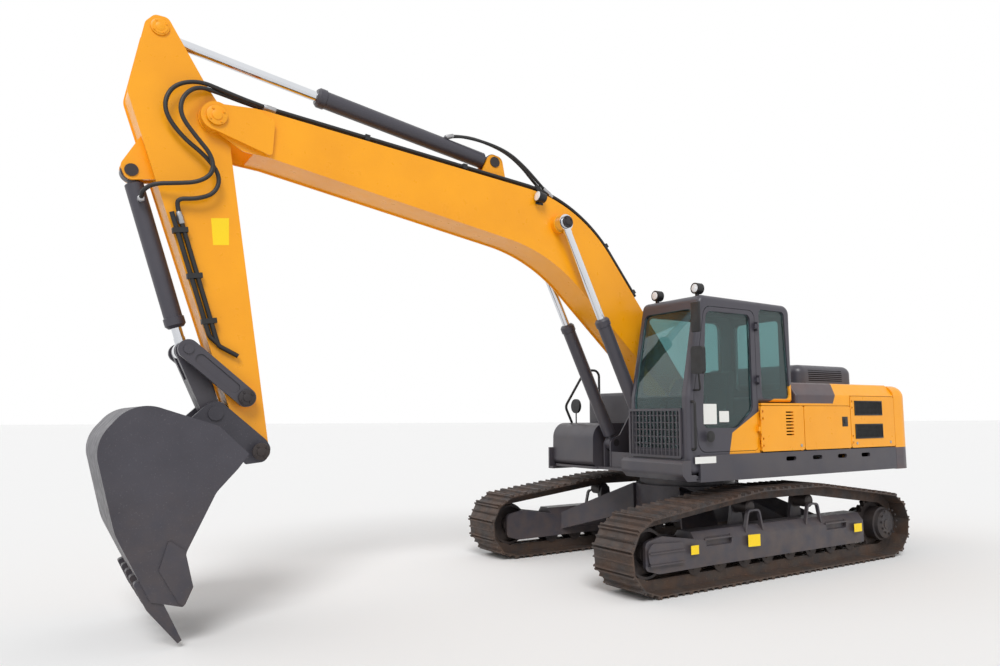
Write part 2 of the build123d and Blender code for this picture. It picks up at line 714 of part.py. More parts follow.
def cylinder_lug():
    """The outer lug of a boom cylinder's foot, on a gusset that stands on the deck."""
    base = BOOM_CYLINDER_BASE
    low = BOOM_CYLINDER_Y + BOOM_EYE_HALF_WIDTH + SIDE_FIT
    reach = BOOM_EYE_RADIUS
    outline = loop([(base[0] - 220, DECK_TOP), (base[0] + reach, DECK_TOP), (base[0] + reach, base[1] + 40),
                    (base[0] - 60, base[1] + reach)], [0, 0, 90, 60])
    lug = slab(outline, low, low + GIRDER_WALL)
    return lug - crosswise(base, BOOM_CYLINDER_PIN + PIN_FIT, low - 5, low + GIRDER_WALL + 5)


def deck():
    """The deck plate of the revolving frame."""
    w = PLATFORM_HALF_WIDTH - SKIRT_WALL
    outline = loop([(TAIL_SEAM_X, -w), (PLATFORM_FRONT_X - 160, -w),
                    (PLATFORM_FRONT_X - 160, -RIGHT_INNER_Y),
                    (BOOM_CYLINDER_BASE_X + 140, -RIGHT_INNER_Y), (BOOM_CYLINDER_BASE_X + 140, CAB_INNER_Y),
                    (PLATFORM_FRONT_X - 10, CAB_INNER_Y), (PLATFORM_FRONT_X - 10, w), (TAIL_SEAM_X, w)],
                   [0, 120, 60, 40, 40, 60, 160, 0])
    return sheet(outline, DECK_LOW, DECK_TOP)


def front_beam():
    """The rounded beam under the cab's front, with the step plate behind it."""
    low = DECK_LOW - 20
    section = loop([(PLATFORM_FRONT_X - 60, low), (FRONT_BEAM_X - 70, low), (FRONT_BEAM_X, low + 70),
                    (FRONT_BEAM_X, FRONT_BEAM_TOP - 30), (FRONT_BEAM_X - 30, FRONT_BEAM_TOP),
                    (PLATFORM_FRONT_X + 10, FRONT_BEAM_TOP),
                    (PLATFORM_FRONT_X + 10, CAB_FLOOR - SEAT_FIT),
                    (PLATFORM_FRONT_X - 60, CAB_FLOOR - SEAT_FIT)],
                   [0, 50, 55, 22, 22, 0, 0, 0])
    return slab(section, CAB_INNER_Y, PLATFORM_HALF_WIDTH - 4)


def revolving_frame():
    """The deck, two main plates, cylinder lugs and the cross wall behind the boom's foot."""
    frame = deck()
    for piece in both_sides(girder()) + both_sides(cylinder_lug()):
        frame += piece
    wall_x = BOOM_FOOT_X - 420
    wall = block(wall_x, wall_x + 30, -GIRDER_INNER, GIRDER_INNER, DECK_TOP, GIRDER_TOP + 60)
    nose = block(BOOM_CYLINDER_BASE_X + 55, BOOM_CYLINDER_BASE_X + 85, -GIRDER_INNER, GIRDER_INNER,
                 DECK_TOP, BOOM_CYLINDER_BASE_Z - 110)
    frame += wall + nose
    return frame + front_beam()


def skirt():
    """The left side channel under the panels, a bent plate with drain slots."""
    low = COUNTERWEIGHT_LOW + 6
    outer = PLATFORM_HALF_WIDTH
    section = [(outer, low), (outer, SKIRT_TOP - PANEL_GAP), (outer - SKIRT_WALL, SKIRT_TOP - PANEL_GAP),
               (outer - SKIRT_WALL, low + SKIRT_WALL), (outer - 110, low + SKIRT_WALL), (outer - 110, low)]
    channel = profile(Polyline(*section, close=True), TAIL_SEAM_X + 4, PLATFORM_FRONT_X - 120)
    for index in range(4):
        x = DOOR_LINE_X - 500 - 480 * index
        slot = loop([(x - 90, SKIRT_TOP - 110), (x + 90, SKIRT_TOP - 110), (x + 90, SKIRT_TOP - 60),
                     (x - 90, SKIRT_TOP - 60)], 24)
        channel -= slab(slot, outer - SKIRT_WALL - 5, outer + 5)
    return channel


def counterweight():
    """The cast weight behind the engine, round in plan, with a notch for the lamp and lifting eyes."""
    w = PLATFORM_HALF_WIDTH
    plan = sheet(loop([(TAIL_SEAM_X - SEAT_FIT, -w), (TAIL_SEAM_X - SEAT_FIT, w), (-TAIL_RADIUS - 60, w),
                       (-TAIL_RADIUS - 60, -w)], 0), COUNTERWEIGHT_LOW, COUNTERWEIGHT_TOP)
    align = (Align.CENTER, Align.CENTER, Align.MIN)
    height = COUNTERWEIGHT_TOP - COUNTERWEIGHT_LOW
    swing = Pos(0, 0, COUNTERWEIGHT_LOW) * Cylinder(TAIL_RADIUS, height, align=align)
    weight = plan & swing
    rounded = [edge for edge in weight.edges().filter_by(Axis.Z) if edge.center().X < TAIL_SEAM_X - 60]
    weight = fillet(rounded, 230)
    rim = [edge for edge in weight.faces().sort_by(Axis.Z)[-1].edges() if edge.center().X < TAIL_SEAM_X - 30]
    weight = fillet(rim, 150)
    for y in (-700, 700):
        hole = Pos(TAIL_SEAM_X - 260, y, COUNTERWEIGHT_TOP - 90)
        weight -= hole * Cylinder(24, 200, align=align)
    return weight


def cab_profile(inset):
    """The cab's side outline, moved in by a wall."""
    sharp = [(CAB_STEP_X, CAB_FLOOR), (CAB_FRONT_X, CAB_FLOOR), (CAB_FRONT_X, CAB_BELT_Z),
             (CAB_BROW_X, CAB_ROOF), (CAB_REAR_X, CAB_ROOF - ROOF_FALL), (CAB_REAR_X, CAB_REAR_LOW),
             (CAB_STEP_X, CAB_REAR_LOW)]
    face = make_face(loop(sharp, [0, 70, 120, 90, 110, 40, 0]))
    return offset(face, -inset) if inset else face


def solid_between(face, y_low, y_high):
    """A side-view face made solid between two planes across the machine."""
    placed = Plane.XZ.offset(-y_high) * face
    return extrude(placed, y_high - y_low, dir=(0, -1, 0))


def door_outline(inset):
    """The door's side outline inside the cab's frame."""
    low = CAB_DOOR_LOW + inset
    top = CAB_DOOR_TOP - inset
    rear = DOOR_LINE_X + 12 + inset
    front = CAB_DOOR_FRONT_X - inset
    return loop([(rear, low), (front, low), (front + 60, CAB_BELT_Z), (front - 130, top), (rear, top)],
                [60, 120, 120, 110, 90])


def quarter_window(inset):
    """The fixed rear window in the cab's left side."""
    rear = CAB_REAR_X + 62 + inset
    front = DOOR_LINE_X - 70 - inset
    low = CAB_REAR_LOW + 45 + inset
    top = CAB_DOOR_TOP + 20 - inset
    return loop([(rear, low), (front, low), (front + 10, top), (rear + 55, top)], 55)


def front_window(inset):
    """The windscreen's outline, seen from the front, as (y, z)."""
    left = CAB_OUTER_Y - 95 - inset
    right = CAB_INNER_Y + 85 + inset
    return loop([(right, CAB_BELT_Z - 560 + inset), (left, CAB_BELT_Z - 560 + inset),
                 (left, CAB_ROOF - 150 - inset), (right, CAB_ROOF - 150 - inset)], 70)


def rear_window(inset):
    """The rear window's outline, seen from behind, as (y, z)."""
    left = CAB_OUTER_Y - 140 - inset
    right = CAB_INNER_Y + 120 + inset
    low = CAB_REAR_LOW + 160 + inset
    return loop([(right, low), (left, low), (left, CAB_DOOR_TOP - 60 - inset),
                 (right, CAB_DOOR_TOP - 60 - inset)], 60)


def right_window(inset):
    """The large window in the cab's inner side, beside the boom."""
    rear = DOOR_LINE_X - 380 + inset
    front = CAB_DOOR_FRONT_X - 60 - inset
    return loop([(rear, CAB_REAR_LOW + 90 + inset), (front + 60, CAB_REAR_LOW + 90 + inset),
                 (front - 90, CAB_DOOR_TOP - 40 - inset), (rear, CAB_DOOR_TOP - 40 - inset)], 80)


def cab_shell():
    """The hollow cab with its pillars, roof and floor, and its windows cut through."""
    shell = solid_between(cab_profile(0), CAB_INNER_Y, CAB_OUTER_Y)
    edges = [edge for edge in shell.edges() if edge.length > 900 and edge.center().Z > CAB_ROOF - 60
             and abs(edge.center().Y - (CAB_INNER_Y + CAB_OUTER_Y) / 2) > 300]
    shell = fillet(edges, 55)
    shell -= solid_between(cab_profile(CAB_WALL), CAB_INNER_Y + CAB_WALL, CAB_OUTER_Y - CAB_WALL)
    shell -= slab(door_outline(0), CAB_OUTER_Y - CAB_WALL - 5, CAB_OUTER_Y + 5)
    shell -= slab(quarter_window(0), CAB_OUTER_Y - CAB_WALL - 5, CAB_OUTER_Y + 5)
    shell -= slab(right_window(0), CAB_INNER_Y - 5, CAB_INNER_Y + CAB_WALL + 5)
    shell -= profile(front_window(0), CAB_BROW_X - 190, CAB_FRONT_X + 20)
    shell -= profile(rear_window(0), CAB_REAR_X - 20, CAB_REAR_X + CAB_WALL + 10)
    for hinge in cab_hinges()[1]:
        shell += hinge
    return shell


def cab_door():
    """The door with its window cut, and its halves of the hinges at the rear edge."""
    door = slab(door_outline(DOOR_GAP), CAB_OUTER_Y - CAB_WALL + 8, CAB_OUTER_Y)
    door -= slab(door_glass_outline(0), CAB_OUTER_Y - CAB_WALL, CAB_OUTER_Y + 5)
    for hinge in cab_hinges()[0]:
        door += hinge
    return door


def cab_hinges():
    """The cab door's hinges: what the door carries, and what the frame carries with the pins."""
    x = DOOR_HINGE_X
    y = CAB_OUTER_Y + DOOR_HINGE_OUT
    moving = []
    fixed = []
    for z in CAB_HINGE_HEIGHTS:
        knuckle = upright(x, y, z - HINGE_KNUCKLE, z + HINGE_KNUCKLE, HINGE_RADIUS)
        knuckle += block(x, x + 40, y - HINGE_RADIUS, y, z - HINGE_KNUCKLE, z + HINGE_KNUCKLE)
        knuckle += block(x + 22, x + 40, CAB_OUTER_Y - 5, y, z - HINGE_KNUCKLE, z + HINGE_KNUCKLE)
        moving.append(knuckle - upright(x, y, z - HINGE_KNUCKLE - 5, z + HINGE_KNUCKLE + 5,
                                        HINGE_PIN + PIN_FIT))
        frame = upright(x, y, z - 2 * HINGE_KNUCKLE, z + 2 * HINGE_KNUCKLE, HINGE_PIN)
        for low in (z - 2 * HINGE_KNUCKLE, z + HINGE_KNUCKLE + HINGE_GAP):
            high = low + HINGE_KNUCKLE - HINGE_GAP
            frame += upright(x, y, low, high, HINGE_RADIUS)
            frame += block(DOOR_LINE_X, DOOR_LINE_X + 12, CAB_OUTER_Y - 5, y, low, high)
        fixed.append(frame)
    return moving, fixed


def door_glass_outline(inset):
    """The door window's outline, cut off at its lower rear corner."""
    rear = DOOR_LINE_X + 90 + inset
    front = CAB_DOOR_FRONT_X - 65 - inset
    low = DOOR_GLASS_LOW + inset
    top = DOOR_GLASS_TOP - inset
    return loop([(rear + 250, low), (front, low), (front - 90, top), (rear, top),
                 (rear, DOOR_GLASS_REAR_LOW + inset)],
                [110, 80, 90, 60, 90])


def cab_glass():
    """The fixed panes: windscreen, rear, quarter and right."""
    fit = PANE_FIT
    quarter = slab(quarter_window(fit), CAB_OUTER_Y - 30, CAB_OUTER_Y - 30 + GLASS_THICKNESS)
    right = slab(right_window(fit), CAB_INNER_Y + 22, CAB_INNER_Y + 22 + GLASS_THICKNESS)
    rear = profile(rear_window(fit), CAB_REAR_X + 22, CAB_REAR_X + 22 + GLASS_THICKNESS)
    front = profile(front_window(fit), CAB_BROW_X - 190, CAB_FRONT_X)
    outer = solid_between(cab_profile(22), CAB_INNER_Y + 10, CAB_OUTER_Y - 10)
    inner = solid_between(cab_profile(22 + GLASS_THICKNESS), CAB_INNER_Y + 5, CAB_OUTER_Y - 5)
    screen = (outer - inner) & front
    return together(quarter, right, rear, screen)


def cab_door_glass():
    """The pane in the cab door."""
    return slab(door_glass_outline(PANE_FIT), CAB_OUTER_Y - 34, CAB_OUTER_Y - 34 + GLASS_THICKNESS)


def seat():
    """The operator's seat with its pedestal, cushions and two side consoles."""
    middle = (CAB_OUTER_Y + CAB_INNER_Y) / 2
    floor = CAB_FLOOR + CAB_WALL
    front = SEAT_X + 470
    base = block(SEAT_X + 20, front - 100, middle - 190, middle + 190, floor, floor + 330)
    cushion = slab(loop([(SEAT_X, floor + 330), (front, floor + 330), (front, floor + 430),
                         (SEAT_X, floor + 430)],
                        40), middle - 240, middle + 240)
    back = slab(loop([(SEAT_X, floor + 430 + SEAT_FIT), (SEAT_X + 110, floor + 430 + SEAT_FIT),
                      (SEAT_X + 10, floor + 1060),
                      (SEAT_X - 100, floor + 1060)], 40), middle - 230, middle + 230)
    consoles = []
    for side in (-1, 1):
        y = middle + side * 325
        console = block(SEAT_X + 20, front + 40, y - 65, y + 65, floor, floor + 560)
        lever = bar((front - 10, y, floor + 540), (front + 20, y, floor + 760), 16)
        consoles.append(console + lever)
    return together(base + cushion, back, consoles)


def side_door(x_front, x_rear, top):
    """A body door on the left side, a pressed panel as thick as its frame."""
    low = SKIRT_TOP + PANEL_GAP
    outline = loop([(x_rear + PANEL_GAP, low), (x_front - PANEL_GAP, low),
                    (x_front - PANEL_GAP, top - PANEL_GAP),
                    (x_rear + PANEL_GAP, top - PANEL_GAP)], 28)
    return slab(outline, PLATFORM_HALF_WIDTH - PANEL_WALL, PLATFORM_HALF_WIDTH)


def upright(x, y, z_low, z_high, radius):
    """A round bar that stands at a point of the plan."""
    return Pos(x, y, z_low) * Cylinder(radius, z_high - z_low,
                                       align=(Align.CENTER, Align.CENTER, Align.MIN))


def hinge_heights(top):
    """Where the two hinges of a body door stand."""
    return (SKIRT_TOP + 110, top - 110)


def hinged(door, x, top):
    """A body door with its hinge knuckles, notched round the leaves that carry it."""
    y = PLATFORM_HALF_WIDTH
    for z in hinge_heights(top):
        notch = block(x - HINGE_LEAF - 22, x + 20, y - PANEL_WALL - 5, y + 5,
                      z - 2 * HINGE_KNUCKLE - HINGE_GAP,
                      z + 2 * HINGE_KNUCKLE + HINGE_GAP)
        tongue = block(x - HINGE_LEAF - 30, x, y - 6, y, z - HINGE_KNUCKLE, z + HINGE_KNUCKLE)
        knuckle = upright(x, y, z - HINGE_KNUCKLE, z + HINGE_KNUCKLE, HINGE_RADIUS)
        bore = upright(x, y, z - 2 * HINGE_KNUCKLE, z + 2 * HINGE_KNUCKLE, HINGE_PIN + PIN_FIT)
        door = (door - notch) + ((tongue + knuckle) - bore)
    return door


def hinge_brackets(x, top):
    """The fixed halves of a door's hinges: two knuckles on a leaf, with the pin between them."""
    y = PLATFORM_HALF_WIDTH
    found = []
    for z in hinge_heights(top):
        bracket = upright(x, y, z - 2 * HINGE_KNUCKLE, z + 2 * HINGE_KNUCKLE, HINGE_PIN)
        for side in (-1, 1):
            near = z + side * (HINGE_KNUCKLE + HINGE_GAP)
            far = z + side * 2 * HINGE_KNUCKLE
            low = min(near, far)
            high = max(near, far)
            bracket += upright(x, y, low, high, HINGE_RADIUS)
            bracket += block(x - HINGE_LEAF, x - HINGE_LEAF + 14, y - PANEL_WALL - PANEL_GAP, y, low, high)
        found.append(bracket)
    return found


def slot_rows(panel, x_low, x_high, z_low, z_high, count, y_out, depth):
    """Level louvre slots cut into the outside of a panel."""
    pitch = (z_high - z_low) / count
    for index in range(count):
        z = z_low + pitch * (index + 0.5)
        panel -= block(x_low, x_high, y_out - depth, y_out + 2, z - pitch * 0.22, z + pitch * 0.22)
    return panel


def louvre_door():
    """The panel behind the cab door, with its louvres."""
    door = side_door(DOOR_LINE_X, LOUVRE_REAR_X, PANEL_TOP)
    door = slot_rows(door, LOUVRE_REAR_X + 190, LOUVRE_REAR_X + 325, SKIRT_TOP + 170, PANEL_TOP - 60, 8,
                     PLATFORM_HALF_WIDTH, PANEL_WALL + 2)
    return hinged(door, DOOR_LINE_X - PANEL_GAP, PANEL_TOP)


def grille_door():
    """The rear left panel, with two grille openings one over the other."""
    door = side_door(MIDDLE_REAR_X, TAIL_SEAM_X, REAR_PANEL_TOP)
    for low in (GRILLE_LOW, GRILLE_LOW + GRILLE_PITCH):
        door = slot_rows(door, MIDDLE_REAR_X - 670, MIDDLE_REAR_X - 90, low, low + GRILLE_HEIGHT, 5,
                         PLATFORM_HALF_WIDTH, PANEL_WALL + 2)
    return hinged(door, MIDDLE_REAR_X - PANEL_GAP, REAR_PANEL_TOP)


def side_house():
    """The left housing: posts with the doors' hinges, a fixed middle panel and a rear wall."""
    outer = PLATFORM_HALF_WIDTH
    low = DECK_TOP
    panel = side_door(LOUVRE_REAR_X, MIDDLE_REAR_X, PANEL_TOP)
    posts = []
    for x in (DOOR_LINE_X - 30, LOUVRE_REAR_X, MIDDLE_REAR_X - 20, TAIL_SEAM_X + 24):
        posts.append(block(x - 20, x + 20, outer - 150, outer - PANEL_WALL - PANEL_GAP, low, PANEL_TOP))
    for bracket in hinge_brackets(DOOR_LINE_X - PANEL_GAP, PANEL_TOP):
        posts[0] += bracket
    posts[2] += block(MIDDLE_REAR_X - 40, MIDDLE_REAR_X, outer - 150, outer - PANEL_WALL - PANEL_GAP,
                      PANEL_TOP,
                      REAR_PANEL_TOP - 20)
    for bracket in hinge_brackets(MIDDLE_REAR_X - PANEL_GAP, REAR_PANEL_TOP):
        posts[2] += bracket
    wall = block(TAIL_SEAM_X + 4, DOOR_LINE_X - 10, BAY_WALL_Y, BAY_WALL_Y + 20, low, PANEL_TOP)
    backing = block(MIDDLE_REAR_X + 20, LOUVRE_REAR_X - 20, outer - PANEL_WALL - 20, outer - PANEL_WALL,
                    low + 260, PANEL_TOP)
    return wall, posts, panel, backing


def body_roof():
    """The plate over the body, open over the engine, set in behind the taller rear panels."""
    outer = PLATFORM_HALF_WIDTH
    inner = outer - PANEL_WALL - PANEL_GAP
    top = [(TAIL_SEAM_X + 4, -inner), (TAIL_SEAM_X + 4, inner), (MIDDLE_REAR_X, inner),
           (MIDDLE_REAR_X, outer),
           (DOOR_LINE_X - 14, outer), (DOOR_LINE_X - 14, CAB_INNER_Y), (TANK_REAR_X, CAB_INNER_Y),
           (TANK_REAR_X, -RIGHT_INNER_Y), (HYDRAULIC_REAR_X - 1, -RIGHT_INNER_Y),
           (HYDRAULIC_REAR_X - 1, -inner)]
    plate = sheet(loop(top, 0), PANEL_TOP, PANEL_TOP + ROOF_THICKNESS)
    post = block(MIDDLE_REAR_X - 45, MIDDLE_REAR_X + POST_CUT, outer - 155, outer, PANEL_TOP - 1,
                 PANEL_TOP + 40)
    return plate - post - engine_opening(PANEL_TOP - 5, PANEL_TOP + ROOF_THICKNESS + 5)


def right_house():
    """The right housing: rear wall and posts beside the pump bay."""
    outer = PLATFORM_HALF_WIDTH
    posts = []
    for x in (HYDRAULIC_REAR_X - 22, TAIL_SEAM_X + 24):
        posts.append(block(x - 20, x + 20, -outer + PANEL_WALL + PANEL_GAP, 150 - outer, DECK_TOP,
                           PANEL_TOP))
    for bracket in hinge_brackets(HYDRAULIC_REAR_X - PANEL_GAP, PANEL_TOP):
        posts[0] += mirror(bracket, about=Plane.XZ)
    wall = block(TAIL_SEAM_X + 4, HYDRAULIC_REAR_X - 2, -RIGHT_INNER_Y - 320, -RIGHT_INNER_Y - 300,
                 DECK_TOP, PANEL_TOP)
    return wall, posts


def pump_door():
    """The right rear panel, over the pump bay."""
    door = side_door(HYDRAULIC_REAR_X, TAIL_SEAM_X, REAR_PANEL_TOP)
    door = slot_rows(door, TAIL_SEAM_X + 150, TAIL_SEAM_X + 600, SKIRT_TOP + 110, PANEL_TOP - 110, 6,
                     PLATFORM_HALF_WIDTH, PANEL_WALL + 2)
    return mirror(hinged(door, HYDRAULIC_REAR_X - PANEL_GAP, PANEL_TOP), about=Plane.XZ)


def rounded_box(x_low, x_high, y_low, y_high, z_low, z_high, radius):
    """A pressed box with its upright and upper edges rounded."""
    shape = block(x_low, x_high, y_low, y_high, z_low, z_high)
    edges = [edge for edge in shape.edges() if edge.center().Z > z_low + 1]
    return fillet(edges, radius)


def fuel_tank():
    """The fuel tank with its filler neck."""
    tank = rounded_box(TANK_REAR_X + 3, TANK_FRONT_X, -TANK_OUTER_Y, -RIGHT_INNER_Y - 10,
                       DECK_TOP, TANK_TOP, 45)
    neck = Pos(TANK_REAR_X + 200, -PLATFORM_HALF_WIDTH + 190, TANK_TOP - 5)
    return tank + neck * Cylinder(62, 70, align=(Align.CENTER, Align.CENTER, Align.MIN))


def hydraulic_tank():
    """The hydraulic tank between the fuel tank and the pump bay."""
    tank = rounded_box(HYDRAULIC_REAR_X + 2, TANK_REAR_X - 3, -TANK_OUTER_Y, -RIGHT_INNER_Y - 60,
                       DECK_TOP, TANK_TOP, 40)
    cap = Pos((HYDRAULIC_REAR_X + TANK_REAR_X) / 2, -RIGHT_INNER_Y - 300, TANK_TOP - 5)
    return tank + cap * Cylinder(110, 30, align=(Align.CENTER, Align.CENTER, Align.MIN))


def tool_box():
    """The tool box and step in front of the fuel tank."""
    box = slab(loop([(TANK_FRONT_X + 3, DECK_TOP), (PLATFORM_FRONT_X - 170, DECK_TOP),
                     (TOOLBOX_FRONT_X - 60, TOOLBOX_TOP), (TANK_FRONT_X + 3, TOOLBOX_TOP)],
                     [0, 70, 190, 0]),
               -TANK_OUTER_Y, -RIGHT_INNER_Y - 60)
    step = block(TANK_FRONT_X + 120, TOOLBOX_FRONT_X - 180, -PLATFORM_HALF_WIDTH - 5,
                 -PLATFORM_HALF_WIDTH + 120,
                 SKIRT_TOP + 30, SKIRT_TOP + 170)
    return box - step


def right_handrail():
    """The bent tube rail that leans back from the tool box over the fuel tank."""
    y = -TANK_OUTER_Y + 60
    foot = TOOLBOX_FRONT_X - 330
    points = [(foot, y, TOOLBOX_TOP), (foot + 110, y, TOOLBOX_TOP + 220), (foot - 240, y, TANK_TOP + 330),
              (foot - 480, y, TANK_TOP + 330), (foot - 480, y, TANK_TOP)]
    route = FilletPolyline(*points, radius=[90, 120, 90])
    ahead = Vector(*points[1]) - Vector(*points[0])
    rail = sweep(Plane(origin=points[0], z_dir=ahead) * Circle(RAIL_RADIUS), path=route)
    return rail - block(foot - 60, foot + 60, y - 60, y + 60, TOOLBOX_TOP - 60, TOOLBOX_TOP)


def left_handrail():
    """The grab rail on the cab's front pillar."""
    r = 14
    y = CAB_OUTER_Y + 52
    x = CAB_DOOR_FRONT_X + 96
    points = [(x, CAB_OUTER_Y + SEAT_FIT, CAB_BELT_Z - 560), (x, y, CAB_BELT_Z - 560),
              (x, y, CAB_BELT_Z - 60),
              (x, CAB_OUTER_Y + SEAT_FIT, CAB_BELT_Z - 60)]
    route = FilletPolyline(*points, radius=[32, 32])
    return sweep(Plane(origin=points[0], z_dir=(0, 1, 0)) * Circle(r), path=route)


def engine_block():
    """The engine as one plain mass across the two main plates."""
    return block(TAIL_SEAM_X + 130, HOOD_FRONT_X - 110, -560, 600, GIRDER_TOP, PANEL_TOP - 30)


def radiator_block():
    """The cooler pack in the left bay, as one plain mass."""
    return block(MIDDLE_REAR_X + 30, LOUVRE_REAR_X - 60, BAY_WALL_Y + 40, PLATFORM_HALF_WIDTH - 170,
                 DECK_TOP, PANEL_TOP - 60)


def cover_section(outer, low):
    """The cover seen from the rear: upright sides, bevelled to a flat top."""
    bevel = outer - COVER_BEVEL
    return loop([(-outer, low), (outer, low), (outer, REAR_PANEL_TOP), (bevel, COVER_TOP),
                 (-bevel, COVER_TOP),
                 (-outer, REAR_PANEL_TOP)], [0, 0, 30, 45, 45, 30])


def deck_cover():
    """The raised cover on the roof with bevelled shoulders, open under the engine hood."""
    outer = PLATFORM_HALF_WIDTH
    low = PANEL_TOP + ROOF_THICKNESS
    cover = profile(cover_section(outer, low), TAIL_SEAM_X + 4, SHOULDER_FRONT_X)
    side = block(TAIL_SEAM_X, MIDDLE_REAR_X + 1, outer - PANEL_WALL - 2 * PANEL_GAP, outer + 5, low - 5,
                 REAR_PANEL_TOP)
    cover -= side
    cover -= block(TAIL_SEAM_X, HYDRAULIC_REAR_X + 1, -outer - 5, PANEL_WALL + 2 * PANEL_GAP - outer,
                   low - 5,
                   REAR_PANEL_TOP)
    cover -= block(HYDRAULIC_REAR_X - 2, 0, -outer - 5, SEAT_FIT - RIGHT_INNER_Y, low - 5, COVER_TOP + 5)
    cover -= block(MIDDLE_REAR_X - 45, MIDDLE_REAR_X + POST_CUT, outer - 155, outer, low - 5,
                   REAR_PANEL_TOP - 15)
    front = [edge for edge in cover.faces().sort_by(Axis.X)[-1].edges() if edge.center().Z > low + 40]
    cover = fillet(front, 28) - engine_opening(PANEL_TOP, COVER_TOP + 5)
    for side in (-1, 1):
        cover += hood_hinge(side * HOOD_HINGE_Y)[1]
    return cover


def engine_opening(z_low, z_high):
    """The opening over the engine."""
    return block(HOOD_REAR_X + 60, HOOD_FRONT_X - 60, 60 - HOOD_HALF_WIDTH, HOOD_HALF_WIDTH - 60, z_low,
                 z_high)


def engine_hood():
    """The domed lid over the engine, a hollow pressing with a row of vents and a handle."""
    low = COVER_TOP + HOOD_GAP
    dome = block(HOOD_REAR_X, HOOD_FRONT_X, -HOOD_HALF_WIDTH, HOOD_HALF_WIDTH, low, low + HOOD_HEIGHT)
    dome = fillet([e for e in dome.edges().filter_by(Axis.Z)], 130)
    dome = fillet(dome.faces().sort_by(Axis.Z)[-1].edges(), 110)
    hollow = block(HOOD_REAR_X + HOOD_WALL, HOOD_FRONT_X - HOOD_WALL, HOOD_WALL - HOOD_HALF_WIDTH,
                   HOOD_HALF_WIDTH - HOOD_WALL, low - 1, low + HOOD_HEIGHT - HOOD_WALL)
    hollow = fillet([e for e in hollow.edges().filter_by(Axis.Z)], 100)
    hollow = fillet(hollow.faces().sort_by(Axis.Z)[-1].edges(), 80)
    dome -= hollow
    for index in range(6):
        z = low + 60 + 26 * index
        slot = block(HOOD_REAR_X + 260, HOOD_FRONT_X - 200, HOOD_HALF_WIDTH - HOOD_WALL - 5,
                     HOOD_HALF_WIDTH + 5,
                     z, z + 11)
        dome -= slot
    for side in (-1, 1):
        dome += hood_hinge(side * HOOD_HINGE_Y)[0]
    return dome


def hood_hinge(y):
    """One hinge of the hood: the half on the hood, and the half on the cover with its pin."""
    centre = (HOOD_FRONT_X + HOOD_HINGE_AHEAD, COVER_TOP + HOOD_HINGE_UP)
    half = HINGE_KNUCKLE
    moving = crosswise(centre, HINGE_RADIUS, y - half, y + half)
    moving += block(HOOD_FRONT_X - 20, centre[0], y - half, y + half, centre[1] - 6, centre[1] + 6)
    moving -= crosswise(centre, HINGE_PIN + PIN_FIT, y - 2 * half, y + 2 * half)
    fixed = crosswise(centre, HINGE_PIN, y - 2 * half, y + 2 * half)
    for low in (y - 2 * half, y + half + HINGE_GAP):
        high = low + half - HINGE_GAP
        fixed += crosswise(centre, HINGE_RADIUS, low, high)
        fixed += block(centre[0] - 8, centre[0] + 8, low, high, COVER_TOP - 5, centre[1])
    return moving, fixed


def mirror_arm_left():
    """The left mirror on its bent stalk at the cab's front pillar."""
    y = CAB_OUTER_Y
    x = CAB_FRONT_X - 62
    z = CAB_BELT_Z + 120
    stalk = FilletPolyline((x - 30, y, z - 60), (x - 30, y + 90, z - 60), (x + 50, y + 150, z + 120),
                           radius=[40])
    tube = sweep(Plane(origin=(x - 30, y, z - 60), z_dir=(0, 1, 0)) * Circle(11), path=stalk)
    glass = Pos(x + 50, y + 150, z + 250) * Box(46, 170, 290)
    return tube + fillet(glass.edges().filter_by(Axis.X), 40)


def mirror_right():
    """The small round mirror on its stalk over the tool box."""
    x = TOOLBOX_FRONT_X - 270
    y = -TANK_OUTER_Y + 240
    stalk = upright(x, y, TOOLBOX_TOP, TOOLBOX_TOP + 150, 9)
    frame = Plane(origin=(x - 17, y, TOOLBOX_TOP + 225), z_dir=(1, 0, 0))
    glass = frame * Cylinder(95, 34, align=(Align.CENTER, Align.CENTER, Align.MIN))
    return stalk + glass


def lamp(place, direction, radius, depth):
    """A round work lamp: a drum on a short foot."""
    frame = Plane(origin=place, z_dir=direction)
    align = (Align.CENTER, Align.CENTER, Align.MIN)
    return frame * Cylinder(radius, depth, align=align)


def roof_height(x):
    """The height of the cab's roof at a station."""
    return CAB_ROOF - ROOF_FALL * (CAB_BROW_X - x) / (CAB_BROW_X - CAB_REAR_X)


def cab_guard():
    """The grid of bars in front of the windscreen's lower part, in a frame of flat bar."""
    low = GUARD_LOW
    high = GUARD_TOP
    y_low = CAB_INNER_Y + 8
    y_high = CAB_OUTER_Y - 100
    x = CAB_FRONT_X + SEAT_FIT
    outer = loop([(y_low, low), (y_high, low), (y_high, high), (y_low, high)], 24)
    inner = loop([(y_low + 26, low + 26), (y_high - 26, low + 26), (y_high - 26, high - 26),
                  (y_low + 26, high - 26)], 8)
    guard = profile(outer, x, x + GUARD_DEPTH) - profile(inner, x - 1, x + GUARD_DEPTH + 1)
    for index in range(1, GUARD_UPRIGHTS + 1):
        y = y_low + (y_high - y_low) * index / (GUARD_UPRIGHTS + 1)
        guard += block(x + 8, x + 20, y - 5, y + 5, low + 20, high - 20)
    for index in range(1, GUARD_LEVELS + 1):
        z = low + (high - low) * index / (GUARD_LEVELS + 1)
        guard += block(x + 4, x + 12, y_low + 20, y_high - 20, z - 5, z + 5)
    return guard


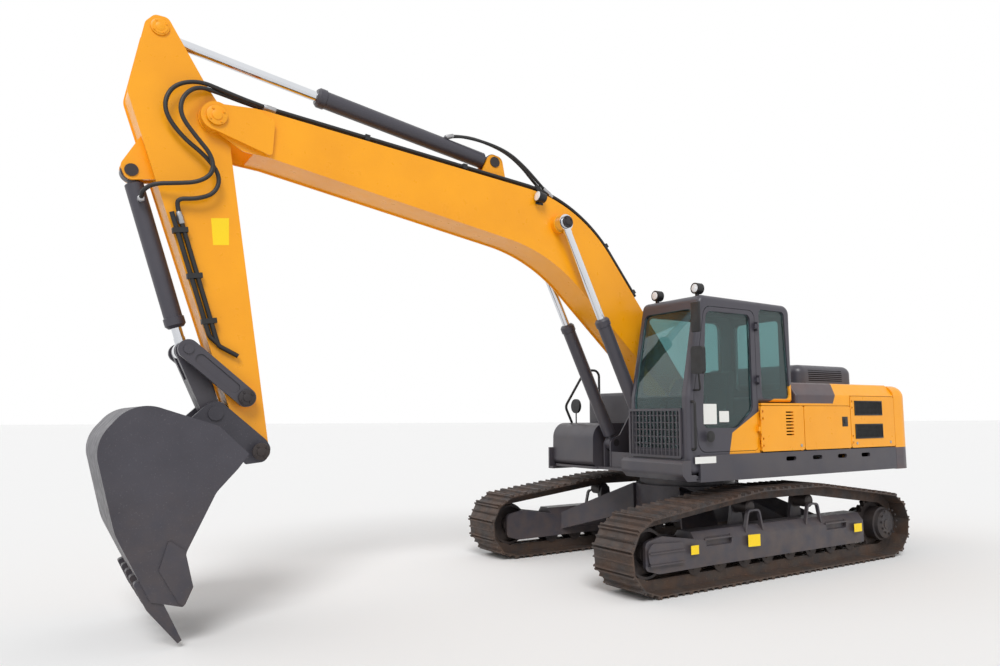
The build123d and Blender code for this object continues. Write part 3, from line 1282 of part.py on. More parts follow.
def cab_lamps():
    """Two work lamps over the windscreen."""
    lamps = []
    for y in (CAB_INNER_Y + 150, CAB_OUTER_Y - 150):
        foot = block(CAB_BROW_X - 130, CAB_BROW_X - 90, y - 14, y + 14, roof_height(CAB_BROW_X - 90) + 0.1,
                     CAB_ROOF + 40)
        drum = lamp((CAB_BROW_X - 160, y, CAB_ROOF + 88), (1, 0, 0), 62, 90)
        lamps.append(foot + drum)
    return together(lamps)


# Working front

def boom_face(inset):
    """The side outline of the boom's plates between the foot and the tip."""
    foot = BOOM_FOOT_RADIUS
    tip = BOOM_LENGTH
    points = [(-40, foot - 4), (BOOM_CROWN_U, BOOM_CROWN_V), (tip - 300, BOOM_NOSE_V),
              (tip + 20, BOOM_TIP_RADIUS - 4),
              (tip - 60, -BOOM_TIP_RADIUS + 14), (tip - 330, -150), (tip - 560, -72),
              (BOOM_BELLY_U, BOOM_BELLY_V),
              (60, 4 - foot)]
    radii = [40, BOOM_CROWN_RADIUS, 420, 60, 60, 120, 400, BOOM_BELLY_RADIUS, 40]
    outline = loop([along(BOOM_FOOT, BOOM_ANGLE, u, v) for u, v in points], radii)
    face = make_face(outline)
    return offset(face, -inset) if inset else face


def plated(face_at, half_width, side_wall, edge):
    """A box section: two side plates, with the top and bottom plates set in from their edges."""
    left = solid_between(face_at(0), half_width - side_wall, half_width)
    right = solid_between(face_at(0), -half_width, side_wall - half_width)
    core = solid_between(face_at(edge), side_wall - half_width, half_width - side_wall)
    return left + right + core


def boom_point(u, v):
    """A point on the boom in the side view."""
    return along(BOOM_FOOT, BOOM_ANGLE, u, v)


def boom():
    """The boom: a bent box beam with a foot tube, a forked tip and brackets for its cylinders."""
    beam = plated(boom_face, BOOM_HALF_WIDTH, BOOM_SIDE_WALL, BOOM_EDGE)
    foot_half = GIRDER_INNER - SIDE_FIT
    beam += crosswise(BOOM_FOOT, BOOM_FOOT_RADIUS, -foot_half, foot_half)
    rod_half = BOOM_CYLINDER_Y - BOOM_EYE_HALF_WIDTH - 2 * SIDE_FIT
    beam += crosswise(BOOM_ROD_PIN, 105, -rod_half, rod_half)
    beam -= crosswise(BOOM_TIP, 430, -BOOM_TIP_INNER, BOOM_TIP_INNER)
    tip = BOOM_LENGTH
    ear = loop([boom_point(u, v) for u, v in [(tip - 560, -66), (tip - 440, 256), (tip - 260, 262),
                                              (tip, 128),
                                              (tip, -128)]], [30, 50, 60, 0, 0])
    for low, high in ((BOOM_HALF_WIDTH, BOOM_TIP_EAR), (-BOOM_TIP_EAR, -BOOM_HALF_WIDTH)):
        beam += slab(ear, low, high)
        beam += crosswise(BOOM_TIP, BOOM_TIP_RADIUS, low, high)
    for low, high in ((BOOM_TIP_INNER, BOOM_TIP_EAR), (-BOOM_TIP_EAR, -BOOM_TIP_INNER)):
        beam += crosswise(BOOM_TIP, BOOM_TIP_RADIUS, low, high)
    u = ARM_CYLINDER_BASE_U
    v = ARM_CYLINDER_BASE_V
    top = ARM_EYE_RADIUS
    lug = loop([boom_point(*p) for p in [(u - 330, v - 300), (u + top - 4, v - 330), (u + top - 4, v + 60),
                                         (u - 60, v + top)]], [0, 0, 80, 80])
    lug_low = ARM_EYE_HALF_WIDTH + SIDE_FIT
    for low, high in ((lug_low, lug_low + 30), (-lug_low - 30, -lug_low)):
        beam += slab(lug, low, high)
    far = BOOM_TIP_EAR + 20
    beam -= crosswise(BOOM_FOOT, FOOT_PIN_RADIUS + PIN_FIT, -far, far)
    beam -= crosswise(BOOM_TIP, TIP_PIN_RADIUS + PIN_FIT, -far, far)
    return beam - crosswise(ARM_CYLINDER_BASE, ARM_CYLINDER_PIN + PIN_FIT, -far, far)


def arm_point(u, v):
    """A point on the arm in the side view."""
    return along(BOOM_TIP, ARM_ANGLE, u, v)


def arm_face(inset):
    """The side outline of the arm's plates."""
    top_u = ARM_TOP_PIN_U
    top_v = ARM_TOP_PIN_V
    end = ARM_END_RADIUS
    points = [(top_u - 92, top_v - 78), (-330, 42), (0, -ARM_BOSS_RADIUS + 18), (300, -end - 6),
              (ARM_LENGTH - 10, 2 - end), (ARM_LENGTH - 10, end - 2), (ARM_LENGTH - 300, end + 74),
              (-225, 672),
              (top_u - 40, top_v + 112), (top_u - 112, top_v + 30)]
    radii = [60, 300, 300, 200, 30, 30, 300, 150, 70, 60]
    face = make_face(loop([arm_point(u, v) for u, v in points], radii))
    return offset(face, -inset) if inset else face


def arm():
    """The arm: a tapered box beam with a forked top, a hinge boss and brackets."""
    beam = plated(arm_face, ARM_HALF_WIDTH, BOOM_SIDE_WALL, ARM_EDGE)
    beam += crosswise(BOOM_TIP, ARM_BOSS_RADIUS, -ARM_BOSS_HALF_WIDTH, ARM_BOSS_HALF_WIDTH)
    end_half = BUCKET_EAR_INNER - SIDE_FIT
    beam += crosswise(BUCKET_HINGE, ARM_END_RADIUS, -end_half, end_half)
    rocker_half = ROCKER_INNER - SIDE_FIT
    beam += crosswise(ROCKER_PIN, 76, -rocker_half, rocker_half)
    fork = ARM_EYE_HALF_WIDTH + 2 * SIDE_FIT
    beam -= crosswise(ARM_TOP_PIN, 420, -fork, fork)
    u = BUCKET_CYLINDER_U
    v = BUCKET_CYLINDER_V
    top = BUCKET_EYE_RADIUS
    lug = loop([arm_point(*p) for p in [(u - 330, v - 130), (u + top, v - 200), (u + top, v + 50),
                                        (u - 50, v + top)]], [0, 0, 70, 70])
    lug_low = BUCKET_EYE_HALF_WIDTH + SIDE_FIT
    for low, high in ((lug_low, lug_low + 28), (-lug_low - 28, -lug_low)):
        beam += slab(lug, low, high)
    far = ROCKER_INNER + 100
    beam -= crosswise(BOOM_TIP, TIP_PIN_RADIUS + PIN_FIT, -far, far)
    beam -= crosswise(BUCKET_HINGE, BUCKET_PIN_RADIUS + PIN_FIT, -far, far)
    beam -= crosswise(ROCKER_PIN, LINK_PIN_RADIUS + PIN_FIT, -far, far)
    beam -= crosswise(BUCKET_CYLINDER_BASE, BUCKET_CYLINDER_PIN + PIN_FIT, -far, far)
    for side in (-1, 1):
        cap_low = side * (ARM_HALF_WIDTH - 2)
        cap_high = side * (ARM_HALF_WIDTH + 20)
        beam += crosswise(ARM_TOP_PIN, 60, min(cap_low, cap_high), max(cap_low, cap_high))
    return beam


def bucket_point(u, v):
    """A point on the bucket in the side view, u towards the tooth tips."""
    return along(BUCKET_HINGE, BUCKET_ANGLE, u, v)


def bucket():
    """The bucket: a bent shell between two side plates, with two ears and side cutters."""
    shell = [(-35, 480), (30, 1125), (430, 1228), (980, 790), (1345, 335)]
    shell_radii = [60, 270, 300, 500]
    side = [(75, 165)] + shell + [(1310, 95), (1180, 100), (950, 262), (442, 262), (210, 190)]
    outline = loop([bucket_point(u, v) for u, v in side],
                   [0] + shell_radii + [0, 20, 60, 120, 200, 100])
    body = slab(outline, -BUCKET_HALF_WIDTH, BUCKET_HALF_WIDTH)
    inside = [(125, 20)] + shell[:-1] + [(1500, 142), (1500, -300), (125, -300)]
    cavity = offset(make_face(loop([bucket_point(u, v) for u, v in inside],
                                   [0] + shell_radii + [0, 0, 0])), -BUCKET_SHELL)
    half = BUCKET_HALF_WIDTH - BUCKET_SHELL
    body -= solid_between(cavity, -half, half)
    link_u = BUCKET_LINK_U
    link_v = BUCKET_LINK_V
    ear = loop([bucket_point(u, v) for u, v in
                [(-60, -88), (60, -92), (230, 200), (300, 420), (60, 720), (-20, 640),
                 (link_u - 50, link_v + 92),
                 (link_u - 112, link_v + 20), (-112, -20)]], [70, 70, 60, 100, 60, 60, 60, 70, 70])
    cut = solid_between(cavity, -half, half)
    for side_sign in (-1, 1):
        near = side_sign * BUCKET_EAR_INNER
        far = side_sign * (BUCKET_EAR_INNER + BUCKET_EAR_WALL)
        body += slab(ear, min(near, far), max(near, far)) - cut
        cutter = loop([bucket_point(u, v) for u, v in
                       [(892, 425), (924, 279), (1151, 100), (1299, 96), (1292, 146), (1117, 389)]], 14)
        wall = side_sign * BUCKET_HALF_WIDTH
        rim = side_sign * (BUCKET_HALF_WIDTH + 16)
        body += slab(cutter, min(wall, rim), max(wall, rim))
        cap = side_sign * (BUCKET_EAR_INNER + BUCKET_EAR_WALL + 14)
        body += crosswise(BUCKET_LINK_PIN, 62, min(far, cap), max(far, cap))
    reach = BUCKET_EAR_INNER + BUCKET_EAR_WALL + 20
    return body - crosswise(BUCKET_HINGE, BUCKET_PIN_RADIUS + PIN_FIT, -reach, reach)


def bucket_teeth(shell):
    """The teeth with their adapters, fitted over the bucket's lip."""
    outline = loop([bucket_point(u, v) for u, v in
                    [(1175, 420), (1262, 508), (1410, 330), (BUCKET_RADIUS, 10), (BUCKET_RADIUS - 30, -8),
                     (1330, 240)]], [20, 20, 90, 6, 6, 90])
    span = 2 * (BUCKET_HALF_WIDTH - TOOTH_WIDTH / 2 - 18)
    teeth = []
    for index in range(TOOTH_COUNT):
        y = span * (index / (TOOTH_COUNT - 1) - 0.5)
        tooth = slab(outline, y - TOOTH_WIDTH / 2, y + TOOTH_WIDTH / 2)
        teeth.append(tooth - shell)
    return together(teeth)


def rocker_links():
    """The two rocker plates beside the arm, each with its half of the link pin."""
    plates = []
    face = make_face(capsule(ROCKER_PIN, LINK_PIN, ROCKER_END_RADIUS, ROCKER_END_RADIUS))
    plate = solid_between(face, ROCKER_INNER, ROCKER_INNER + ROCKER_WALL)
    groove = make_face(capsule(along(ROCKER_PIN, ROCKER_ANGLE, 130, 0),
                               along(ROCKER_PIN, ROCKER_ANGLE, ROCKER_LENGTH - 130, 0),
                               ROCKER_END_RADIUS - 38, ROCKER_END_RADIUS - 38.1))
    plate -= solid_between(groove, ROCKER_INNER + ROCKER_WALL - 14, ROCKER_INNER + ROCKER_WALL + 5)
    plate -= crosswise(ROCKER_PIN, LINK_PIN_RADIUS + PIN_FIT, ROCKER_INNER - 5,
                       ROCKER_INNER + ROCKER_WALL + 5)
    stub_low = BUCKET_EYE_HALF_WIDTH + SIDE_FIT
    plate += crosswise(LINK_PIN, LINK_PIN_RADIUS, stub_low, ROCKER_INNER + ROCKER_WALL + 14)
    collar_low = LINK_FORK_INNER + LINK_FORK_WALL + SIDE_FIT
    plate += crosswise(LINK_PIN, LINK_PIN_RADIUS + 16, collar_low, ROCKER_INNER)
    plates.append(plate)
    plates.append(mirror(plate, about=Plane.XZ))
    return together(plates)


def capsule(start, end, start_radius, end_radius):
    """A link's outline: two round ends joined by tangent sides."""
    angle = heading(start, end)
    spread = math.degrees(math.acos((start_radius - end_radius) / distance(start, end)))
    first = polar(start, start_radius, angle + spread)
    second = polar(end, end_radius, angle + spread)
    third = polar(end, end_radius, angle - spread)
    fourth = polar(start, start_radius, angle - spread)
    nose = polar(end, end_radius, angle)
    heel = polar(start, start_radius, angle + 180)
    return Wire([Line(first, second), ThreePointArc(second, nose, third), Line(third, fourth),
                 ThreePointArc(fourth, heel, first)])


def connecting_link():
    """The link from the cylinder's eye to the bucket: a fork above, one wide eye below."""
    face = make_face(capsule(LINK_PIN, BUCKET_LINK_PIN, LINK_END_RADIUS, LINK_END_RADIUS))
    fork = LINK_FORK_INNER + LINK_FORK_WALL
    link = solid_between(face, -fork, fork)
    link -= crosswise(LINK_PIN, 250, -LINK_FORK_INNER, LINK_FORK_INNER)
    link += crosswise(BUCKET_LINK_PIN, LINK_END_RADIUS, -LINK_FOOT_HALF_WIDTH, LINK_FOOT_HALF_WIDTH)
    return link - crosswise(LINK_PIN, LINK_PIN_RADIUS + PIN_FIT, -fork - 5, fork + 5)


# Cylinders, each drawn along its own axis from the pin of its base

def turned_along(outline, start, end, y):
    """A turned piece about the line from one pin to another, from (radius, distance) points."""
    face = Plane.XZ * make_face(Polyline(*outline, close=True))
    shape = revolve(face, Axis.Z)
    frame = Plane(origin=(start[0], y, start[1]), x_dir=(0, 1, 0),
                  z_dir=(end[0] - start[0], 0, end[1] - start[1]))
    return frame * shape


def barrel(start, end, y, radius, tube, rod_radius, eye_radius, eye_half, pin_radius):
    """A cylinder's barrel with its base eye, bore, gland and ports."""
    wall = BARREL_WALL
    bottom = eye_radius + BARREL_BOTTOM
    bore = rod_radius + PIN_FIT
    neck = eye_half - SIDE_FIT
    shoulder = eye_radius + SHOULDER_GAP
    outline = [(0, eye_radius * 0.6), (neck, eye_radius * 0.6), (neck, shoulder), (radius - 8, shoulder),
               (radius, shoulder + 8), (radius, tube - 96), (radius + 10, tube - 90),
               (radius + 10, tube - 26), (radius - 12, tube),
               (bore, tube), (bore, tube - 90), (radius - wall, tube - 90), (radius - wall, bottom),
               (0, bottom)]
    body = turned_along(outline, start, end, y)
    eye = crosswise(start, eye_radius, y - eye_half, y + eye_half)
    return (body + eye) - crosswise(start, pin_radius + PIN_FIT, y - eye_half - 40, y + eye_half + 40)


def rod_with_eye(start, end, y, radius, rod_start, barrel_radius, eye_radius, eye_half):
    """A cylinder's rod with its piston and its eye, the eye holding its part of the pin."""
    reach = distance(start, end)
    piston = barrel_radius - BARREL_WALL - 0.3
    outline = [(0, rod_start), (piston, rod_start), (piston, rod_start + 60), (radius, rod_start + 60),
               (radius, reach - eye_radius - 40), (radius + ROD_COLLAR, reach - eye_radius - 40),
               (radius + ROD_COLLAR, reach - eye_radius * 0.6), (0, reach - eye_radius * 0.6)]
    shaft = turned_along(outline, start, end, y)
    return shaft + crosswise(end, eye_radius, y - eye_half, y + eye_half)


def boom_barrel():
    """The left boom cylinder's barrel."""
    return barrel(BOOM_CYLINDER_BASE, BOOM_ROD_PIN, BOOM_CYLINDER_Y, BOOM_CYLINDER_BARREL,
                  BOOM_CYLINDER_TUBE,
                  BOOM_CYLINDER_ROD, BOOM_EYE_RADIUS, BOOM_EYE_HALF_WIDTH, BOOM_CYLINDER_PIN)


def boom_rod():
    """The left boom cylinder's rod, its eye in the lane beside the boom."""
    shape = rod_with_eye(BOOM_CYLINDER_BASE, BOOM_ROD_PIN, BOOM_CYLINDER_Y, BOOM_CYLINDER_ROD,
                         BOOM_ROD_START,
                         BOOM_CYLINDER_BARREL, BOOM_EYE_RADIUS, BOOM_EYE_HALF_WIDTH)
    cap = BOOM_CYLINDER_Y + BOOM_EYE_HALF_WIDTH
    return shape + crosswise(BOOM_ROD_PIN, 66, cap, cap + 18)


def arm_barrel():
    """The arm cylinder's barrel."""
    return barrel(ARM_CYLINDER_BASE, ARM_TOP_PIN, 0, ARM_CYLINDER_BARREL, ARM_CYLINDER_TUBE,
                  ARM_CYLINDER_ROD, ARM_EYE_RADIUS, ARM_EYE_HALF_WIDTH, ARM_CYLINDER_PIN)


def arm_rod():
    """The arm cylinder's rod."""
    return rod_with_eye(ARM_CYLINDER_BASE, ARM_TOP_PIN, 0, ARM_CYLINDER_ROD, ARM_ROD_START,
                        ARM_CYLINDER_BARREL, ARM_EYE_RADIUS, ARM_EYE_HALF_WIDTH)


def bucket_barrel():
    """The bucket cylinder's barrel."""
    return barrel(BUCKET_CYLINDER_BASE, LINK_PIN, 0, BUCKET_CYLINDER_BARREL, BUCKET_CYLINDER_TUBE,
                  BUCKET_CYLINDER_ROD, BUCKET_EYE_RADIUS, BUCKET_EYE_HALF_WIDTH, BUCKET_CYLINDER_PIN)


def bucket_rod():
    """The bucket cylinder's rod."""
    return rod_with_eye(BUCKET_CYLINDER_BASE, LINK_PIN, 0, BUCKET_CYLINDER_ROD, BUCKET_ROD_START,
                        BUCKET_CYLINDER_BARREL, BUCKET_EYE_RADIUS, BUCKET_EYE_HALF_WIDTH)


# Pins

def pin(centre, radius, half, head=0):
    """A pin right across the machine, with a head at each end."""
    shaft = crosswise(centre, radius, -half, half)
    if head:
        shaft += crosswise(centre, radius + head, half - 10, half)
        shaft += crosswise(centre, radius + head, -half, 10 - half)
    return shaft


def frame_pins():
    """The boom's foot pin and the two base pins of its cylinders."""
    foot = pin(BOOM_FOOT, FOOT_PIN_RADIUS, GIRDER_INNER + GIRDER_WALL + 12, 14)
    low = GIRDER_INNER - SIDE_FIT
    high = BOOM_CYLINDER_Y + BOOM_EYE_HALF_WIDTH + SIDE_FIT + GIRDER_WALL + 2
    base = crosswise(BOOM_CYLINDER_BASE, BOOM_CYLINDER_PIN, low, high)
    base += crosswise(BOOM_CYLINDER_BASE, BOOM_CYLINDER_PIN + 14, high - 1.7, high + 10)
    return together(foot, both_sides(base))


def boom_pins():
    """The pin at the boom's tip and the arm cylinder's base pin."""
    tip = pin(BOOM_TIP, TIP_PIN_RADIUS, BOOM_TIP_EAR + 12.3, 16)
    base = pin(ARM_CYLINDER_BASE, ARM_CYLINDER_PIN, ARM_EYE_HALF_WIDTH + SIDE_FIT + 30 + 10.3, 14)
    return together(tip, base)


def arm_pins():
    """The bucket's hinge pin, the rocker pin and the bucket cylinder's base pin."""
    hinge = pin(BUCKET_HINGE, BUCKET_PIN_RADIUS, BUCKET_EAR_INNER + BUCKET_EAR_WALL + 12.3, 16)
    rocker = pin(ROCKER_PIN, LINK_PIN_RADIUS, ROCKER_INNER + ROCKER_WALL + 12.3, 14)
    base = pin(BUCKET_CYLINDER_BASE, BUCKET_CYLINDER_PIN, BUCKET_EYE_HALF_WIDTH + SIDE_FIT + 28 + 10.3, 14)
    return together(hinge, rocker, base)


def pipe_clamp(start, end, s, v, y_low, y_high, foot):
    """A clamp block across the pipes at a length along a straight stretch, on its foot."""
    angle = heading(start, end)
    half = CLAMP_LENGTH / 2
    grip = PIPE_RADIUS + 6
    sign = 1 if v > 0 else -1
    corners = [(s - half, v - grip), (s + half, v - grip), (s + half, v + grip), (s - half, v + grip)]
    body = slab(loop([along(start, angle, a, b) for a, b in corners], 0), y_low, y_high)
    stem = [(s - 14, foot), (s + 14, foot), (s + 14, v - sign * grip), (s - 14, v - sign * grip)]
    return body + slab(loop([along(start, angle, a, b) for a, b in stem], 0), y_low + 10, y_high - 10)


def boom_pipes():
    """The two steel pipes over the left top edge of the boom, in their clamps."""
    lift = PIPE_LIFT
    start = along(BOOM_CROWN, heading(BOOM_CROWN, BOOM_BACK), PIPE_REAR, -lift)
    end = along(BOOM_CROWN, heading(BOOM_CROWN, BOOM_NOSE), PIPE_FRONT, lift)
    half_turn = math.radians((heading(BOOM_BACK, BOOM_CROWN) - heading(BOOM_CROWN, BOOM_NOSE)) / 2)
    up = (heading(BOOM_BACK, BOOM_CROWN) + heading(BOOM_CROWN, BOOM_NOSE)) / 2 + 90
    crown = polar(BOOM_CROWN, lift / math.cos(half_turn), up)
    lanes = (BOOM_HALF_WIDTH - 50, BOOM_HALF_WIDTH - 50 - PIPE_PITCH)
    found = None
    for y in lanes:
        points = [(x, y, z) for x, z in (start, crown, end)]
        route = FilletPolyline(*points, radius=BOOM_CROWN_RADIUS + lift)
        ahead = Vector(*points[1]) - Vector(*points[0])
        pipe = sweep(Plane(origin=points[0], z_dir=ahead) * Circle(PIPE_RADIUS), path=route)
        found = pipe if found is None else found + pipe
    low = lanes[1] - PIPE_RADIUS - 8
    high = lanes[0] + PIPE_RADIUS + 8
    foot = -BOOM_EDGE + SEAT_FIT
    for s in CLAMP_REAR_PLACES:
        found += pipe_clamp(BOOM_CROWN, BOOM_BACK, s, -lift, low, high, -foot)
    for s in CLAMP_FRONT_PLACES:
        found += pipe_clamp(BOOM_CROWN, BOOM_NOSE, s, lift, low, high, foot)
    return found


def arm_pipes():
    """The two pipes down the left side of the arm, the outer one turned to its valve."""
    found = None
    for lane, (first, last) in enumerate(((ARM_PIPE_START, ARM_PIPE_END),
                                          (ARM_PIPE_START - 60, ARM_PIPE_END - 90))):
        y = ARM_HALF_WIDTH + SEAT_FIT + 20 + PIPE_RADIUS
        v = ARM_PIPE_V + lane * PIPE_PITCH
        slope = ARM_PIPE_SLOPE
        points = [arm_point(first, v), arm_point(last, v - slope),
                  arm_point(last + 110, v - slope - 150 + lane * 60)]
        route = FilletPolyline(*[(x, y, z) for x, z in points], radius=60)
        ahead = Vector(points[1][0] - points[0][0], 0, points[1][1] - points[0][1])
        pipe = sweep(Plane(origin=(points[0][0], y, points[0][1]), z_dir=ahead) * Circle(PIPE_RADIUS),
                     path=route)
        found = pipe if found is None else found + pipe
    near = ARM_HALF_WIDTH + SEAT_FIT
    for share in (0.1, 0.5, 0.9):
        u = ARM_PIPE_START + share * (ARM_PIPE_END - 120 - ARM_PIPE_START)
        v = ARM_PIPE_V - ARM_PIPE_SLOPE * share
        clamp = loop([arm_point(u - 22, v - 30), arm_point(u + 22, v - 30),
                      arm_point(u + 22, v + PIPE_PITCH + 30),
                      arm_point(u - 22, v + PIPE_PITCH + 30)], 0)
        found += slab(clamp, near, near + 20 + 2 * PIPE_RADIUS + 6)
    return found


def build():
    """Every node of the machine by its name."""
    nodes = {}
    nodes["track_left"] = track()
    nodes["track_right"] = mirror(nodes["track_left"], about=Plane.XZ)
    nodes["track_frame_left"] = track_frame()
    nodes["track_frame_right"] = mirror(nodes["track_frame_left"], about=Plane.XZ)
    nodes["idler_wheels"] = together(both_sides(idler()))
    nodes["sprockets"] = together(both_sides(sprocket()))
    nodes["track_rollers"] = together([both_sides(track_roller(x)) for x in roller_places()])
    nodes["carrier_rollers"] = together([both_sides(carrier_roller(x)) for x in (CARRIER_FRONT_X,
                                                                                 CARRIER_REAR_X)])
    nodes["car_body"] = car_body()
    nodes["ring_inner_race"] = race(RING_MIDDLE_RADIUS - RING_GAP, RING_INNER_RADIUS, BODY_TOP + 20,
                                    DECK_LOW - 10)
    nodes["ring_outer_race"] = race(RING_OUTER_RADIUS, RING_MIDDLE_RADIUS, DECK_LOW - 90, DECK_LOW)
    nodes["revolving_frame"] = revolving_frame()
    nodes["side_skirts"] = together(both_sides(skirt()))
    nodes["counterweight"] = counterweight()
    nodes["left_house"] = together(side_house())
    nodes["right_house"] = together(right_house())
    nodes["body_roof"] = body_roof()
    nodes["deck_cover"] = deck_cover()
    nodes["engine_block"] = engine_block()
    nodes["radiator_block"] = radiator_block()
    nodes["fuel_tank"] = fuel_tank()
    nodes["hydraulic_tank"] = hydraulic_tank()
    nodes["tool_box"] = tool_box()
    nodes["handrails"] = together(right_handrail(), left_handrail())
    nodes["mirrors"] = together(mirror_arm_left(), mirror_right())
    nodes["cab_shell"] = cab_shell()
    nodes["cab_glass"] = cab_glass()
    nodes["cab_guard"] = cab_guard()
    nodes["cab_lamps"] = cab_lamps()
    nodes["seat"] = seat()
    nodes["cab_door"] = cab_door()
    nodes["cab_door_glass"] = cab_door_glass()
    nodes["louvre_door"] = louvre_door()
    nodes["grille_door"] = grille_door()
    nodes["pump_door"] = pump_door()
    nodes["engine_hood"] = engine_hood()
    nodes["frame_pins"] = frame_pins()
    nodes["boom"] = boom()
    nodes["boom_pins"] = boom_pins()
    nodes["boom_pipes"] = boom_pipes()
    nodes["arm_pipes"] = arm_pipes()
    nodes["boom_barrel_left"] = boom_barrel()
    nodes["boom_barrel_right"] = mirror(nodes["boom_barrel_left"], about=Plane.XZ)
    nodes["boom_rod_left"] = boom_rod()
    nodes["boom_rod_right"] = mirror(nodes["boom_rod_left"], about=Plane.XZ)
    nodes["arm"] = arm()
    nodes["arm_pins"] = arm_pins()
    nodes["arm_barrel"] = arm_barrel()
    nodes["arm_rod"] = arm_rod()
    nodes["bucket_barrel"] = bucket_barrel()
    nodes["bucket_rod"] = bucket_rod()
    nodes["rocker_links"] = rocker_links()
    nodes["connecting_link"] = connecting_link()
    nodes["bucket"] = bucket()
    nodes["bucket_teeth"] = bucket_teeth(nodes["bucket"])
    return nodes


def middle_of(nodes):
    """The middle of the machine's length, where the finished model has its origin."""
    lows = [shape.bounding_box().min.X for shape in nodes.values()]
    highs = [shape.bounding_box().max.X for shape in nodes.values()]
    return (min(lows) + max(highs)) / 2


if __name__ == "__main__":
    os.makedirs("parts", exist_ok=True)
    machine = build()
    middle = middle_of(machine)
    print("swing axis at", round(-middle, 3))
    for name, shape in machine.items():
        export_step(Pos(-middle, 0, 0) * shape, f"parts/{name}.step")
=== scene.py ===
import json
import math

import bmesh
import bpy
from mathutils import Matrix, Vector


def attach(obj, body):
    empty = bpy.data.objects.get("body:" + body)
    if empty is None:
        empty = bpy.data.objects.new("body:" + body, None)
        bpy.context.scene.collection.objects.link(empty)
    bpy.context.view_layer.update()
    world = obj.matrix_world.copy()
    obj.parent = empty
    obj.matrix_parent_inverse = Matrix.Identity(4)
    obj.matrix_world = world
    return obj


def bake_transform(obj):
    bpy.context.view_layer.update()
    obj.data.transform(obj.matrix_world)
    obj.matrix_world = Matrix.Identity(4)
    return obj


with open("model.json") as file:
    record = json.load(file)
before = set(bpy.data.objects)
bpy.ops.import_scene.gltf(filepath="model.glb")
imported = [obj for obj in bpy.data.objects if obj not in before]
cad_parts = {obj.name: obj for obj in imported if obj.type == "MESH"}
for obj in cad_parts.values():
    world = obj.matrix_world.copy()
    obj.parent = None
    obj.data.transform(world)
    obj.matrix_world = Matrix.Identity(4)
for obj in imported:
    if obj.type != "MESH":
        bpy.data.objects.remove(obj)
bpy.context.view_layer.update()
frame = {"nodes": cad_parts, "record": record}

nodes = frame["nodes"]
print("frame loaded,", len(nodes), "nodes")

# the machine's own numbers count from its swing axis, the frame's from the middle of its box
machine = {"ahead": -1.802173}


def at(x, y, z):
    return Vector((x + machine["ahead"], y, z))


def rgb(red, green, blue):
    def straight(value):
        value = value / 255
        return value / 12.92 if value <= 0.04045 else ((value + 0.055) / 1.055) ** 2.4
    return (straight(red), straight(green), straight(blue), 1)


# camera
photoCamera = {"place": (7.0985, 7.2640, 1.7581), "right": (-0.832053, 0.554678, -0.004386),
               "up": (0.060138, 0.098067, 0.993361), "ahead": (-0.551426, -0.826266, 0.114954),
               "lens": 27.57, "sensor": 36, "shift": (-0.0402, -0.0059)}

cameraData = bpy.data.cameras.new("photoCamera")
cameraData.lens = photoCamera["lens"]
cameraData.sensor_width = photoCamera["sensor"]
cameraData.shift_x, cameraData.shift_y = photoCamera["shift"]
cameraData.clip_end = 200
camera = bpy.data.objects.new("photoCamera", cameraData)
axes = [Vector(photoCamera["right"]), Vector(photoCamera["up"]), -Vector(photoCamera["ahead"])]
turn = Matrix(axes).transposed().to_4x4()
camera.matrix_world = Matrix.Translation(at(*photoCamera["place"])) @ turn
bpy.context.scene.collection.objects.link(camera)
bpy.context.scene.camera = camera
print("camera set")


# small helpers for node trees
def feed(tree, socket, value):
    if isinstance(value, bpy.types.NodeSocket):
        tree.links.new(value, socket)
    else:
        socket.default_value = value


def calc(tree, operation, first, second=0.0, clamp=False):
    node = tree.nodes.new("ShaderNodeMath")
    node.operation = operation
    node.use_clamp = clamp
    feed(tree, node.inputs[0], first)
    feed(tree, node.inputs[1], second)
    return node.outputs[0]


def blendColour(tree, factor, first, second, way="MIX"):
    node = tree.nodes.new("ShaderNodeMix")
    node.data_type = "RGBA"
    node.blend_type = way
    feed(tree, node.inputs[0], factor)
    feed(tree, node.inputs[6], first)
    feed(tree, node.inputs[7], second)
    return node.outputs[2]


def spread(tree, value, fromLow, fromHigh, toLow=0.0, toHigh=1.0):
    node = tree.nodes.new("ShaderNodeMapRange")
    for socket, number in zip(node.inputs[1:5], (fromLow, fromHigh, toLow, toHigh)):
        socket.default_value = number
    feed(tree, node.inputs[0], value)
    return node.outputs[0]


def cloud(tree, place, scale, detail=4, stretch=(1, 1, 1)):
    shape = tree.nodes.new("ShaderNodeMapping")
    shape.inputs["Scale"].default_value = stretch
    tree.links.new(place, shape.inputs["Vector"])
    node = tree.nodes.new("ShaderNodeTexNoise")
    node.inputs["Scale"].default_value = scale
    node.inputs["Detail"].default_value = detail
    tree.links.new(shape.outputs[0], node.inputs["Vector"])
    return node.outputs["Fac"]


def halfSpace(tree, xyz, plane, soft):
    # 1 where a*x + b*y + c*z > d, in machine metres
    a, b, c, d = plane
    total = calc(tree, "MULTIPLY", xyz[0], a)
    total = calc(tree, "ADD", total, calc(tree, "MULTIPLY", xyz[1], b))
    total = calc(tree, "ADD", total, calc(tree, "MULTIPLY", xyz[2], c))
    total = calc(tree, "SUBTRACT", total, d + a * machine["ahead"])
    return spread(tree, total, -soft, soft)


